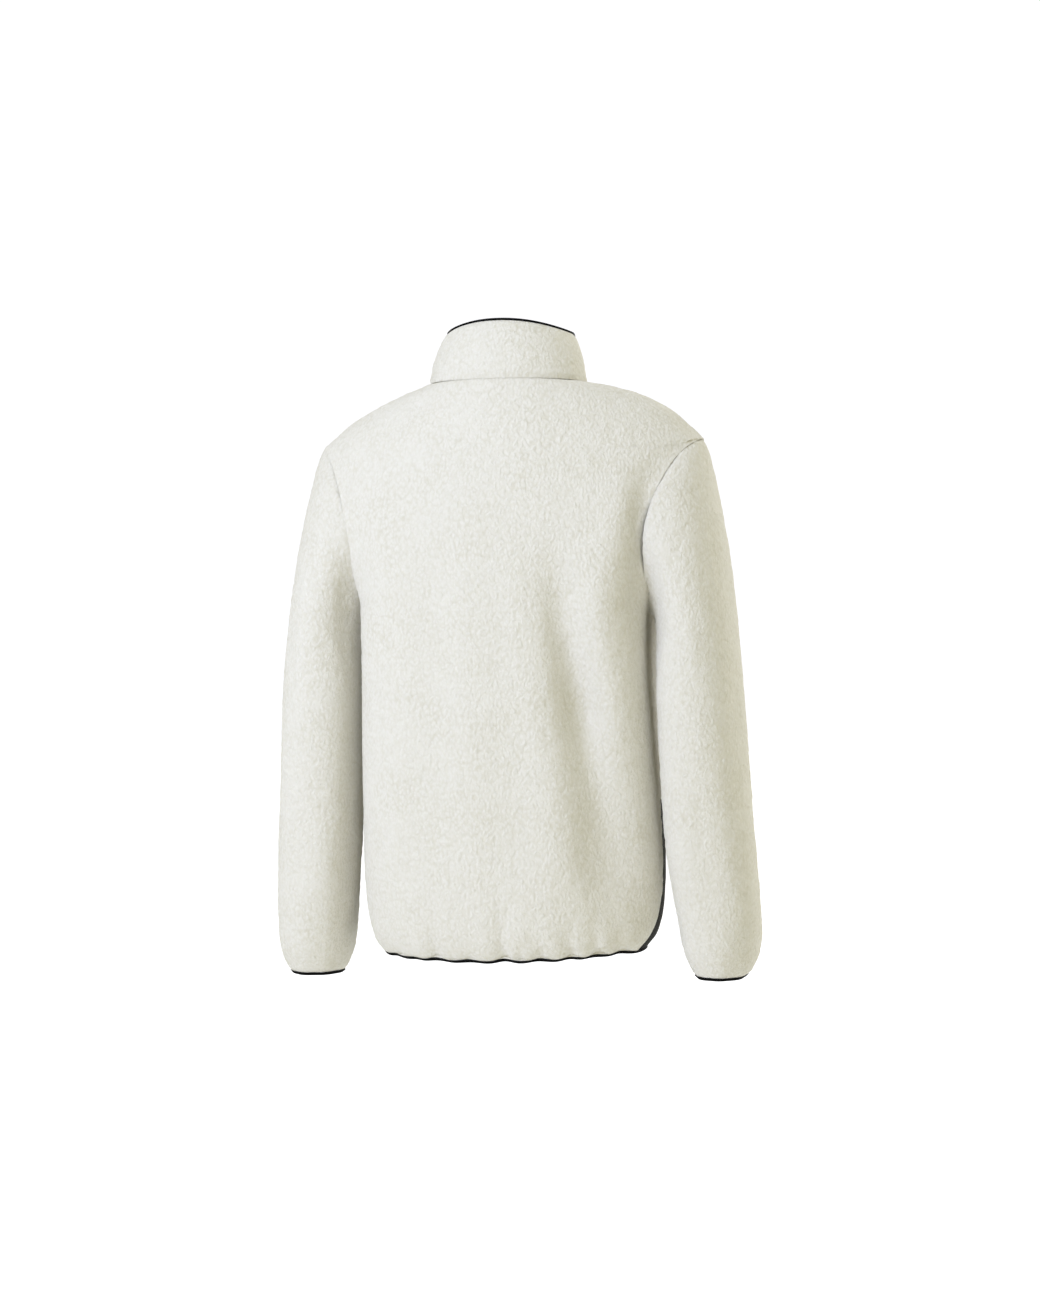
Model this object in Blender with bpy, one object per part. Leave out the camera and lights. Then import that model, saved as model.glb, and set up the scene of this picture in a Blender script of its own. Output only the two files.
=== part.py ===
# Sherpa fleece jacket, zipped up and filled out as if worn, with nobody in it.
# Metres, +Z up, the front faces -Y, the wearer's left is +X.
# The origin lies in the neck opening, level with the foot of the collar.
import math

import bmesh
import bpy
import numpy as np
from mathutils import Matrix, Vector

# ---- Driving sizes -------------------------------------------------------------------
sherpa_wall = 0.0045  # knitted ground and pile together
woven_wall = 0.0015  # smooth woven lower fronts
woven_recess = 0.0015  # the woven face lies this much lower than the pile
seam_gap = 0.0003
armhole_gap = 0.0007  # wider, because the cloth twists along this seam
zip_half_opening = 0.0080  # from the centre line to each front's edge
chain_half_width = 0.0030
chain_depth = (0.0018, 0.0052)  # front and back of the closed teeth, below the pile
tape_width = 0.0130
tape_depth = (0.0049, 0.0059)
binding_height = 0.0055
collar_binding_height = 0.0040
pinch_reach = 0.050  # how far the side recess spreads to front and back
lower_front_top = 4.62  # ring number of the seam over the woven lower front
slider_size = (0.0086, 0.0048, 0.0110)
bridge_size = (0.0024, 0.0036, 0.0080)
pull_size = (0.0068, 0.0016, 0.0300)
pull_window = 0.0058
pull_bar_radius = 0.0007
back_columns = 34
front_columns = 16
binding_columns = 64

# ---- Rings of the body, from the hem up ----------------------------------------------
# Heights and places of a ring's side, back and front; half_width is measured across;
# roundness 2 is an ellipse and more is squarer; pinch pulls in the side under the arm;
# arm_back and arm_front say how far the armhole reaches behind and before the side.
body_columns = (
    "z_side z_back z_front half_width y_side y_back y_front roundness pinch arm_back arm_front"
).split()
body_rows = [
    (-0.6795, -0.6840, -0.6825, 0.1590, -0.009, 0.0930, -0.1080, 2.35, 0.000, 0.0, 0.0),
    (-0.6650, -0.6705, -0.6675, 0.1695, -0.009, 0.1035, -0.1190, 2.4, 0.000, 0.0, 0.0),
    (-0.6390, -0.6440, -0.6425, 0.1770, -0.009, 0.1120, -0.1270, 2.4, 0.000, 0.0, 0.0),
    (-0.5970, -0.6030, -0.6010, 0.1805, -0.008, 0.1175, -0.1310, 2.5, 0.000, 0.0, 0.0),
    (-0.5450, -0.5480, -0.5470, 0.1805, -0.007, 0.1200, -0.1310, 2.6, 0.001, 0.0, 0.0),
    (-0.4700, -0.4710, -0.4710, 0.1785, -0.004, 0.1235, -0.1290, 2.9, 0.003, 0.0, 0.0),
    (-0.3900, -0.3910, -0.3910, 0.1770, -0.001, 0.1255, -0.1270, 3.2, 0.007, 0.0, 0.0),
    (-0.3300, -0.3320, -0.3320, 0.1760, 0.003, 0.1270, -0.1250, 3.45, 0.011, 0.0, 0.0),
    (-0.2820, -0.2840, -0.2840, 0.1770, 0.004, 0.1270, -0.1240, 3.5, 0.0125, 0.075, 0.070),
    (-0.2520, -0.2555, -0.2565, 0.1830, 0.006, 0.1270, -0.1235, 3.4, 0.008, 0.079, 0.080),
    (-0.2150, -0.2225, -0.2250, 0.1955, 0.009, 0.1265, -0.1230, 3.1, 0.004, 0.084, 0.088),
    (-0.1750, -0.1870, -0.1925, 0.2135, 0.011, 0.1250, -0.1205, 2.7, 0.000, 0.081, 0.090),
    (-0.1400, -0.1550, -0.1660, 0.2285, 0.0115, 0.1235, -0.1165, 2.3, 0.000, 0.0725, 0.081),
    (-0.1080, -0.1255, -0.1455, 0.2360, 0.0115, 0.1205, -0.1110, 2.0, 0.000, 0.0635, 0.070),
    (-0.0900, -0.1080, -0.1345, 0.2350, 0.012, 0.1185, -0.1070, 1.9, 0.000, 0.058, 0.065),
    (-0.0790, -0.0970, -0.1280, 0.2310, 0.0125, 0.1170, -0.1040, 1.85, 0.000, 0.055, 0.059),
    (-0.0505, -0.0675, -0.1100, 0.2020, 0.0155, 0.1115, -0.0935, 1.8, 0.000, 0.0, 0.0),
    (-0.0325, -0.0495, -0.0975, 0.1700, 0.019, 0.1070, -0.0850, 1.85, 0.000, 0.0, 0.0),
    (-0.0185, -0.0295, -0.0835, 0.1300, 0.024, 0.1015, -0.0735, 1.95, 0.000, 0.0, 0.0),
    (-0.0100, -0.0100, -0.0700, 0.0930, 0.028, 0.0960, -0.0620, 2.1, 0.000, 0.0, 0.0),
]
armpit_ring = 8.0
shoulder_ring = 15.0
neck_ring = 19.0
armpit_crowd = 0.0195  # length from the armpit to the next stop along the armhole
shoulder_crowd = 0.0145  # the same at the shoulder point
shoulder_tilt = 0.026  # the left shoulder slopes a little lower than the right
hem_tilt = 0.028  # and so does the left end of the hem
seam_swing = 0.22  # angle by which the side seams run back at the hem
seam_swing_top = 3.1  # ring number where that begins

# ---- Rings of the stand collar, from the neck seam up --------------------------------
collar_rows = [
    (-0.0100, -0.0100, -0.0700, 0.0930, 0.028, 0.0960, -0.0620, 2.1, 0.0, 0.0, 0.0),
    (0.0090, 0.0080, -0.0530, 0.0908, 0.027, 0.0950, -0.0630, 2.1, 0.0, 0.0, 0.0),
    (0.0240, 0.0260, -0.0360, 0.0872, 0.024, 0.0915, -0.0632, 2.1, 0.0, 0.0, 0.0),
    (0.0370, 0.0435, -0.0190, 0.0825, 0.020, 0.0855, -0.0628, 2.1, 0.0, 0.0, 0.0),
    (0.0480, 0.0590, -0.0040, 0.0768, 0.016, 0.0780, -0.0620, 2.1, 0.0, 0.0, 0.0),
]
collar_top = 4.0
slider_ring = 3.55  # place of the zip's slider on the collar
chain_top = 3.17  # the teeth end just under the slider
tape_top = 3.9

# ---- Rings of the sleeve, from the armhole to the cuff, for the wearer's left --------
# Each ring runs between a point on the body side and one on the outer side.
# follow is how much it still follows the armhole's own shape.
sleeve_columns = "x_in z_in x_out z_out y_centre half_depth follow".split()
sleeve_rows = [
    (0.1635, -0.2820, 0.2310, -0.0790, 0.006, 0.086, 1.00),
    (0.1685, -0.2775, 0.2365, -0.0910, 0.007, 0.087, 0.78),
    (0.1735, -0.2815, 0.2425, -0.1140, 0.009, 0.086, 0.50),
    (0.1772, -0.2900, 0.2498, -0.1470, 0.011, 0.084, 0.24),
    (0.1786, -0.3010, 0.2575, -0.1860, 0.013, 0.082, 0.08),
    (0.1790, -0.3150, 0.2645, -0.2310, 0.015, 0.080, 0.00),
    (0.1792, -0.3330, 0.2703, -0.2800, 0.017, 0.077, 0.00),
    (0.1796, -0.3580, 0.2755, -0.3300, 0.019, 0.074, 0.00),
    (0.1808, -0.3900, 0.2800, -0.3800, 0.020, 0.071, 0.00),
    (0.1832, -0.4330, 0.2833, -0.4300, 0.018, 0.069, 0.00),
    (0.1862, -0.4820, 0.2858, -0.4800, 0.015, 0.067, 0.00),
    (0.1900, -0.5310, 0.2883, -0.5300, 0.010, 0.066, 0.00),
    (0.1936, -0.5800, 0.2911, -0.5800, 0.003, 0.065, 0.00),
    (0.1968, -0.6240, 0.2935, -0.6240, -0.006, 0.064, 0.00),
    (0.1995, -0.6540, 0.2940, -0.6540, -0.012, 0.062, 0.00),
    (0.2040, -0.6770, 0.2920, -0.6770, -0.016, 0.057, 0.00),
    (0.2085, -0.6890, 0.2880, -0.6890, -0.018, 0.052, 0.00),
    (0.2140, -0.6990, 0.2825, -0.6990, -0.020, 0.046, 0.00),
]

# ---- Folds ---------------------------------------------------------------------------
# Each runs from a top point to a bottom point on the back or front, seen square on;
# depth is outward, so a trough is negative; taper is the share that fades at each end.
fold_columns = "face x_top z_top x_bottom z_bottom half_width depth taper".split()
fold_rows = [
    ("back", -0.078, -0.175, -0.122, -0.470, 0.022, -0.0150, 0.38),
    ("back", -0.096, -0.260, -0.164, -0.690, 0.034, -0.0260, 0.38),
    ("back", -0.112, -0.200, -0.158, -0.520, 0.017, 0.0065, 0.35),
    ("back", -0.160, -0.080, -0.122, -0.340, 0.016, 0.0045, 0.35),
    ("back", -0.180, -0.090, -0.172, -0.322, 0.013, -0.0110, 0.28),
    ("back", 0.030, -0.080, 0.022, -0.640, 0.050, 0.0035, 0.25),
    ("back", 0.062, -0.140, 0.055, -0.640, 0.030, -0.0045, 0.30),
    ("back", -0.010, -0.300, -0.045, -0.640, 0.030, -0.0035, 0.35),
    ("back", 0.160, -0.140, 0.164, -0.280, 0.018, -0.0025, 0.40),
    ("back", 0.150, -0.340, 0.120, -0.640, 0.030, 0.0030, 0.35),
    ("back", -0.085, -0.470, -0.060, -0.650, 0.026, 0.0030, 0.35),
    ("front", 0.110, -0.200, 0.075, -0.470, 0.032, -0.0050, 0.35),
    ("front", -0.115, -0.190, -0.070, -0.490, 0.030, -0.0055, 0.35),
    ("front", 0.140, -0.180, 0.130, -0.420, 0.024, 0.0040, 0.40),
    ("front", -0.142, -0.200, -0.128, -0.440, 0.024, 0.0040, 0.40),
    ("front", 0.050, -0.150, 0.040, -0.480, 0.034, 0.0030, 0.35),
    ("front", -0.048, -0.160, -0.040, -0.470, 0.034, 0.0030, 0.35),
]

# ---- Gathers at the hem --------------------------------------------------------------
# The elastic edge draws the cloth into short upright troughs of uneven size.
gather_columns = "face x height half_width depth".split()
gather_rows = [
    ("back", 0.1320, 0.060, 0.0085, -0.0036),
    ("back", 0.1030, 0.050, 0.0075, -0.0030),
    ("back", 0.0715, 0.084, 0.0080, -0.0058),
    ("back", 0.0310, 0.060, 0.0080, -0.0040),
    ("back", -0.0130, 0.086, 0.0080, -0.0062),
    ("back", -0.0560, 0.078, 0.0080, -0.0056),
    ("back", -0.0900, 0.086, 0.0075, -0.0060),
    ("back", -0.1180, 0.094, 0.0075, -0.0062),
    ("back", -0.1430, 0.098, 0.0080, -0.0056),
    ("front", 0.1310, 0.048, 0.0085, -0.0036),
    ("front", 0.0980, 0.040, 0.0080, -0.0028),
    ("front", 0.0640, 0.052, 0.0085, -0.0038),
    ("front", 0.0320, 0.036, 0.0075, -0.0022),
    ("front", -0.0350, 0.040, 0.0080, -0.0028),
    ("front", -0.0680, 0.054, 0.0085, -0.0038),
    ("front", -0.1000, 0.038, 0.0080, -0.0026),
    ("front", -0.1320, 0.050, 0.0085, -0.0036),
]
hem_height = -0.688

# ---- Folds and gathers of a sleeve ---------------------------------------------------
# turn is the place round the sleeve in degrees: 0 faces the body, 90 back, 180 out;
# start and end are ring numbers.
sleeve_fold_columns = "turn start end half_turn depth".split()
sleeve_fold_rows = [
    (50.0, 3.0, 15.5, 24.0, 0.0050),
    (112.0, 3.5, 9.5, 26.0, 0.0030),
    (285.0, 4.0, 11.0, 24.0, -0.0040),
    (238.0, 5.0, 12.5, 26.0, 0.0025),
    (95.0, 9.5, 14.5, 22.0, -0.0025),
    (20.0, 8.5, 13.5, 26.0, -0.0015),
    (150.0, 10.0, 15.5, 24.0, 0.0015),
]
sleeve_drop = {"left": 0.014, "right": 0.0045}  # how much lower each cuff hangs
# how far each lower sleeve is moved outward, on its body side and on its outer side
sleeve_sway_columns = "ring left_in left_out right_in right_out".split()
sleeve_sway_rows = [
    (8.0, 0.0, 0.0, 0.0, 0.0),
    (10.0, 0.0, 0.0, -0.0030, 0.0010),
    (11.0, -0.0010, 0.0, -0.0055, 0.0025),
    (12.0, 0.0020, 0.0, -0.0050, 0.0030),
    (13.0, 0.0035, 0.0010, 0.0, 0.0030),
    (15.0, 0.0045, 0.0035, 0.0010, 0.0005),
    (17.0, 0.0050, 0.0045, -0.0005, -0.0030),
]
cuff_gather_start = 13.2
cuff_gather_rows = [
    (25.0, 15.0, -0.0020),
    (75.0, 15.0, -0.0030),
    (125.0, 15.0, -0.0022),
    (178.0, 15.0, -0.0028),
    (230.0, 15.0, -0.0020),
    (284.0, 15.0, -0.0030),
    (332.0, 15.0, -0.0022),
]

# ---- Finishes ------------------------------------------------------------------------
finishes = {
    "cream_sherpa": ((0.84, 0.83, 0.77), 0.95, 0.0),
    "black_woven": ((0.016, 0.016, 0.018), 0.62, 0.0),
    "black_binding": ((0.012, 0.012, 0.013), 0.80, 0.0),
    "black_tape": ((0.014, 0.014, 0.015), 0.75, 0.0),
    "black_resin": ((0.020, 0.020, 0.022), 0.40, 0.0),
    "black_enamel": ((0.018, 0.018, 0.020), 0.30, 0.6),
}


def as_table(columns, rows):
    return {name: np.array([row[i] for row in rows]) for i, name in enumerate(columns)}


body = as_table(body_columns, body_rows)
collar = as_table(body_columns, collar_rows)
sleeve = as_table(sleeve_columns, sleeve_rows)


def with_spans(table, names):
    """Adds to a table how far each row lies from the next, measured over some columns."""
    steps = [np.diff(table[name]) for name in names]
    table["span"] = np.append(np.sqrt(sum(step**2 for step in steps)), 0.0)
    return table


with_spans(body, "z_side z_back half_width y_back".split())
with_spans(collar, "z_side z_back half_width y_back".split())
with_spans(sleeve, "x_in z_in x_out z_out y_centre".split())


def smooth_value(table, name, place):
    """A column of a table read between its rows, on a curve through them all."""
    column = table[name]
    span = table["span"]
    place = np.clip(np.asarray(place, float), 0.0, len(column) - 1.0)
    low = np.minimum(place.astype(int), len(column) - 2)
    share = place - low

    def rate(row):
        """The column's change for each metre at a row, from its two neighbours."""
        below = np.maximum(row - 1, 0)
        above = np.minimum(row, len(column) - 2)
        before = (column[below + 1] - column[below]) / span[below]
        after = (column[above + 1] - column[above]) / span[above]
        return (before * span[above] + after * span[below]) / (span[above] + span[below])

    start = column[low]
    end = column[low + 1]
    rise = rate(low) * span[low]
    fall = rate(low + 1) * span[low]
    cubic = 2 * start - 2 * end + rise + fall
    square = -3 * start + 3 * end - 2 * rise - fall
    return ((cubic * share + square) * share + rise) * share + start


def smooth_step(value):
    value = np.clip(value, 0.0, 1.0)
    return value * value * (3 - 2 * value)


def ring_point(table, angle, ring):
    """A point of a ring. Angle 0 is the left side, a quarter turn is the back."""
    angle = np.asarray(angle, float)
    value = {name: smooth_value(table, name, ring) for name in body_columns}
    across = np.cos(angle)
    along = np.sin(angle)
    power = 2.0 / value["roundness"]
    side = np.sign(across) * np.abs(across) ** power
    reach = np.abs(along) ** power
    y_end = np.where(along > 0, value["y_back"], value["y_front"])
    z_end = np.where(along > 0, value["z_back"], value["z_front"])
    y = value["y_side"] + (y_end - value["y_side"]) * reach
    z = value["z_side"] + (z_end - value["z_side"]) * along * along
    above_sleeve = smooth_step((ring - shoulder_ring) / 1.5) * smooth_step((neck_ring - ring) / 1.5)
    recess = value["pinch"] * np.exp(-(((y - value["y_side"]) / pinch_reach) ** 2))
    x = value["half_width"] * side - recess * side
    near_hem = 0.0 if table is collar else 1 - smooth_step(ring / 2.5)
    z = z - (shoulder_tilt * above_sleeve + hem_tilt * near_hem) * x
    return np.stack([x, y, z], axis=-1)


def ring_normal(table, angle, ring):
    step = 0.004
    last = len(table["z_side"]) - 1.0
    low = np.maximum(np.asarray(ring, float) - 0.02, 0.0)
    high = np.minimum(np.asarray(ring, float) + 0.02, last)
    round_way = ring_point(table, angle + step, ring) - ring_point(table, angle - step, ring)
    up_way = ring_point(table, angle, high) - ring_point(table, angle, low)
    return unit(np.cross(round_way, up_way))


def unit(vectors):
    return vectors / np.maximum(np.linalg.norm(vectors, axis=-1, keepdims=True), 1e-12)


def angle_at_x(table, x, ring):
    """The angle on the front half of a ring that lies x to the side of the centre."""
    width = smooth_value(table, "half_width", ring)
    power = smooth_value(table, "roundness", ring) / 2
    share = np.clip(abs(x) / width, 0.0, 1.0) ** power
    turn = np.arccos(share)
    return -turn if x > 0 else turn - math.pi


def armhole_angle(ring, back):
    """How far from the side the armhole's edge lies, as an angle on the ring."""
    middle = (armpit_ring + shoulder_ring) / 2
    half = (shoulder_ring - armpit_ring) / 2
    arch = max(0.0, 1.0 - ((ring - middle) / half) ** 2) ** 0.5
    reach = smooth_value(body, "arm_back" if back else "arm_front", ring) * arch
    side = smooth_value(body, "y_side", ring)
    end = smooth_value(body, "y_back" if back else "y_front", ring)
    share = reach / abs(end - side)
    return math.asin(share ** (smooth_value(body, "roundness", ring) / 2))


def fold_lift(points, normals):
    """How far the folds and the hem's gathers move each point outward."""
    x = points[..., 0]
    z = points[..., 2]
    facing = {"back": smooth_step(normals[..., 1] / 0.5)}
    facing["front"] = smooth_step(-normals[..., 1] / 0.5)
    lift = np.zeros(x.shape)
    for row in fold_rows:
        fold = dict(zip(fold_columns, row))
        start = np.array([fold["x_top"], fold["z_top"]])
        way = np.array([fold["x_bottom"], fold["z_bottom"]]) - start
        length = np.hypot(*way)
        along = ((x - start[0]) * way[0] + (z - start[1]) * way[1]) / length**2
        off = ((x - start[0]) * way[1] - (z - start[1]) * way[0]) / length
        ends = smooth_step(along / fold["taper"]) * smooth_step((1 - along) / fold["taper"])
        shape = np.exp(-((off / fold["half_width"]) ** 2))
        lift += fold["depth"] * shape * ends * facing[fold["face"]]
    for row in gather_rows:
        gather = dict(zip(gather_columns, row))
        fade = 1 - smooth_step((z - hem_height) / (gather["height"] * 1.3))
        shape = np.exp(-(((x - gather["x"]) / gather["half_width"]) ** 2))
        lift += gather["depth"] * shape * fade * facing[gather["face"]]
    return lift


def row_angles(table, ring, first, last, columns, trims, crowd=(0.0, 0.0)):
    """Angles of evenly spaced points along one row, less a trimmed length at each end.

    crowd moves all points but the end ones inward, by up to that length at each end.
    """
    dense = np.linspace(first, last, 241)
    points = ring_point(table, dense, np.full(dense.shape, ring))
    steps = np.linalg.norm(np.diff(points, axis=0), axis=1)
    travelled = np.concatenate([[0.0], np.cumsum(steps)])
    wanted = np.linspace(crowd[0], travelled[-1] - crowd[1], columns + 1)
    wanted[0] = trims[0]
    wanted[-1] = travelled[-1] - trims[1]
    return np.interp(wanted, travelled, dense)


def crowd_beyond_armhole(ring):
    """Columns lean in below and above the armhole, to run on into those beside it."""
    if ring >= shoulder_ring:
        return shoulder_crowd * smooth_step(1 - (ring - shoulder_ring) / 2.5)
    return armpit_crowd * smooth_step(1 - (armpit_ring - ring) / 3.5)


def body_rings_between(low, high):
    """Ring numbers of the rows of a panel: close at the hem and round the armhole."""
    below = [0, 0.45, 0.95, 1.5, 2.1, 2.8, 3.6, lower_front_top, 5.4, 6.2, 7.1]
    half = (shoulder_ring - armpit_ring) / 2
    rings = list(below)
    for i in range(13):
        rings.append(armpit_ring + half * (1 - math.cos(math.pi * i / 12)))
    rings += [15.9, 16.9, 17.9, neck_ring]
    return [ring for ring in rings if low - 1e-6 <= ring <= high + 1e-6]


def in_armhole(ring):
    return armpit_ring < ring < shoulder_ring


def make_material(name):
    colour, roughness, metallic = finishes[name]
    material = bpy.data.materials.get(name)
    if material is None:
        material = bpy.data.materials.new(name)
        material.use_nodes = True
        shader = material.node_tree.nodes["Principled BSDF"]
        shader.inputs["Base Color"].default_value = (*colour, 1.0)
        shader.inputs["Roughness"].default_value = roughness
        shader.inputs["Metallic"].default_value = metallic
        material.diffuse_color = (*colour, 1.0)
    return material


def make_object(name, points, faces, finish, crease_deg=40.0):
    mesh = bpy.data.meshes.new(name)
    mesh.from_pydata([tuple(point) for point in points], [], faces)
    shell = bmesh.new()
    shell.from_mesh(mesh)
    bmesh.ops.recalc_face_normals(shell, faces=shell.faces)
    if shell.calc_volume(signed=True) < 0:
        bmesh.ops.reverse_faces(shell, faces=shell.faces)
    shell.to_mesh(mesh)
    shell.free()
    piece = bpy.data.objects.new(name, mesh)
    bpy.context.scene.collection.objects.link(piece)
    mesh.materials.append(make_material(finish))
    mesh.shade_smooth()
    mesh.set_sharp_from_angle(angle=math.radians(crease_deg))
    return piece


def split_edge_face(points, face):
    """Splits a face of a cut edge from its lower outer corner, so that two edges match."""
    first, second, third, fourth = face
    if points[first][2] <= points[second][2]:
        return [[first, second, third], [first, third, fourth]]
    return [[first, second, fourth], [second, third, fourth]]


def wall_between(name, outer, inner, finish, closed=False):
    """A wall of cloth between two grids of points; closed joins its first and last column."""
    rows, columns = outer.shape[:2]
    points = np.concatenate([outer.reshape(-1, 3), inner.reshape(-1, 3)])
    below = rows * columns

    def at(row, column, side):
        return side * below + row * columns + column % columns

    faces = []
    spans = columns if closed else columns - 1
    for j in range(rows - 1):
        for i in range(spans):
            for side in (0, 1):
                square = [at(j, i, side), at(j, i + 1, side), at(j + 1, i + 1, side), at(j + 1, i, side)]
                faces.append(square if side == 0 else square[::-1])
    edges = []
    for i in range(spans):
        edges.append([at(0, i + 1, 0), at(0, i, 0), at(0, i, 1), at(0, i + 1, 1)])
        last = rows - 1
        edges.append([at(last, i, 0), at(last, i + 1, 0), at(last, i + 1, 1), at(last, i, 1)])
    if not closed:
        last = columns - 1
        for j in range(rows - 1):
            edges.append([at(j, 0, 0), at(j + 1, 0, 0), at(j + 1, 0, 1), at(j, 0, 1)])
            edges.append([at(j + 1, last, 0), at(j, last, 0), at(j, last, 1), at(j + 1, last, 1)])
    for face in edges:
        faces += split_edge_face(points, face)
    return make_object(name, points, faces, finish)


def panel(name, table, rings, limits, columns, finish, wall, recess=0.0, folded=True):
    """A panel whose rows run between two angles; limits gives them and the trims."""
    angles = []
    for ring in rings:
        first, last, trims, crowd = limits(ring)
        angles.append(row_angles(table, ring, first, last, columns, trims, crowd))
    angles = np.array(angles)
    places = np.repeat(np.array(rings)[:, None], angles.shape[1], axis=1)
    points = ring_point(table, angles, places)
    normals = ring_normal(table, angles, places)
    lift = fold_lift(points, normals) if folded else np.zeros(points.shape[:2])
    lift = (lift - recess)[..., None]
    return wall_between(name, points + normals * lift, points + normals * (lift - wall), finish)


def side_seam(ring):
    """How far behind the side the side seam lies, as an angle on the ring."""
    return seam_swing * float(smooth_step(1 - ring / seam_swing_top))


def back_limits(ring):
    if in_armhole(ring):
        turn = armhole_angle(ring, back=True)
        return turn, math.pi - turn, (0.0, 0.0), (0.0, 0.0)
    crowd = crowd_beyond_armhole(ring)
    turn = side_seam(ring)
    return turn, math.pi - turn, (seam_gap / 2, seam_gap / 2), (crowd, crowd)


def front_limits(side):
    """The front of one side, from its side seam or armhole to the zip."""

    def limits(ring):
        turn = armhole_angle(ring, back=False) if in_armhole(ring) else -side_seam(ring)
        trim = 0.0 if in_armhole(ring) else seam_gap / 2
        crowd = 0.0 if in_armhole(ring) else crowd_beyond_armhole(ring)
        end = abs(float(angle_at_x(body, zip_half_opening, ring)))
        if side > 0:
            return -turn, -end, (trim, 0.0), (crowd, 0.0)
        return turn - math.pi, end - math.pi, (trim, 0.0), (crowd, 0.0)

    return limits


def collar_limits(ring):
    """All round from the zip's left edge by way of the back to its right edge."""
    end = abs(float(angle_at_x(collar, zip_half_opening, ring)))
    return -end, math.pi + end, (0.0, 0.0), (0.0, 0.0)


def make_panels():
    rings = body_rings_between(0.0, neck_ring)
    panel("back", body, rings, back_limits, back_columns, "cream_sherpa", sherpa_wall)
    for label, side in (("left", 1), ("right", -1)):
        upper = body_rings_between(lower_front_top, neck_ring)
        lower = body_rings_between(0.0, lower_front_top)
        ring_pitch = 0.075  # height between two rings near this seam
        upper[0] += seam_gap / 2 / ring_pitch
        lower[-1] -= seam_gap / 2 / ring_pitch
        limits = front_limits(side)
        name = "front_" + label
        panel(name, body, upper, limits, front_columns, "cream_sherpa", sherpa_wall)
        name = "lower_front_" + label
        panel(name, body, lower, limits, front_columns, "black_woven", woven_wall, woven_recess)


def make_collar():
    first = seam_gap / 0.018  # rings of the collar are 18 mm apart
    rings = [first, 0.45, 1.0, 2.0, 3.0, collar_top]
    columns = back_columns + 22
    panel("collar", collar, rings, collar_limits, columns, "cream_sherpa", sherpa_wall, folded=False)


def sleeve_lift(turns, places):
    """How far a sleeve's folds and cuff gathers move each point outward."""
    degrees = np.degrees(turns)
    lift = np.zeros(turns.shape)
    for row in sleeve_fold_rows:
        fold = dict(zip(sleeve_fold_columns, row))
        off = (degrees - fold["turn"] + 180) % 360 - 180
        along = (places - fold["start"]) / (fold["end"] - fold["start"])
        ends = smooth_step(along / 0.4) * smooth_step((1 - along) / 0.4)
        lift += fold["depth"] * np.exp(-((off / fold["half_turn"]) ** 2)) * ends
    cuff = len(sleeve_rows) - 1.0
    fade = smooth_step((places - cuff_gather_start) / (cuff - cuff_gather_start))
    for turn, half_turn, depth in cuff_gather_rows:
        off = (degrees - turn + 180) % 360 - 180
        lift += depth * np.exp(-((off / half_turn) ** 2)) * fade
    return lift


def armhole_loop():
    """Points and cloth normals round the left armhole: up its back, down its front."""
    rings = body_rings_between(armpit_ring, shoulder_ring)
    inside = rings[1:-1]
    stops = [(armpit_ring, 0.0)]
    stops += [(ring, armhole_angle(ring, back=True)) for ring in inside]
    stops += [(shoulder_ring, 0.0)]
    stops += [(ring, -armhole_angle(ring, back=False)) for ring in reversed(inside)]
    ring = np.array([stop[0] for stop in stops])
    angle = np.array([stop[1] for stop in stops])
    return ring_point(body, angle, ring), ring_normal(body, angle, ring)


def sleeve_grid(places):
    """Base points and outward directions of the left sleeve, a row for each place."""
    loop, cloth = armhole_loop()
    cloth_lift = fold_lift(loop, cloth)
    loop = loop + cloth * cloth_lift[:, None]
    ahead = unit(np.roll(loop, -1, axis=0) - loop)
    outward = unit(np.cross(cloth, ahead + np.roll(ahead, 1, axis=0)))
    turns = np.linspace(0, 2 * math.pi, len(loop), endpoint=False)
    points = []
    normals = []
    for place in places:
        value = {name: smooth_value(sleeve, name, place) for name in sleeve_columns}
        inner = np.array([value["x_in"], value["y_centre"], value["z_in"]])
        outer = np.array([value["x_out"], value["y_centre"], value["z_out"]])
        middle = (inner + outer) / 2
        across = (outer - inner) / 2
        depth = np.array([0.0, value["half_depth"], 0.0])
        cosine = np.cos(turns)[:, None]
        sine = np.sin(turns)[:, None]
        round_ring = middle - across * cosine + depth * sine
        radial = unit(
            -across * cosine / np.dot(across, across) + depth * sine / np.dot(depth, depth)
        )
        follow = value["follow"]
        moved_loop = loop + (middle - sleeve_middle(0.0)) * 0.6
        base = moved_loop * follow + round_ring * (1 - follow)
        if place == 0.0:
            base = loop + outward * armhole_gap
            direction = cloth
        else:
            direction = unit(cloth * follow**2 + radial * (1 - follow**2))
        points.append(base)
        normals.append(direction)
    return np.array(points), np.array(normals), turns


def sleeve_middle(place):
    value = {name: float(smooth_value(sleeve, name, place)) for name in sleeve_columns}
    x = (value["x_in"] + value["x_out"]) / 2
    z = (value["z_in"] + value["z_out"]) / 2
    return np.array([x, value["y_centre"], z])


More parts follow.
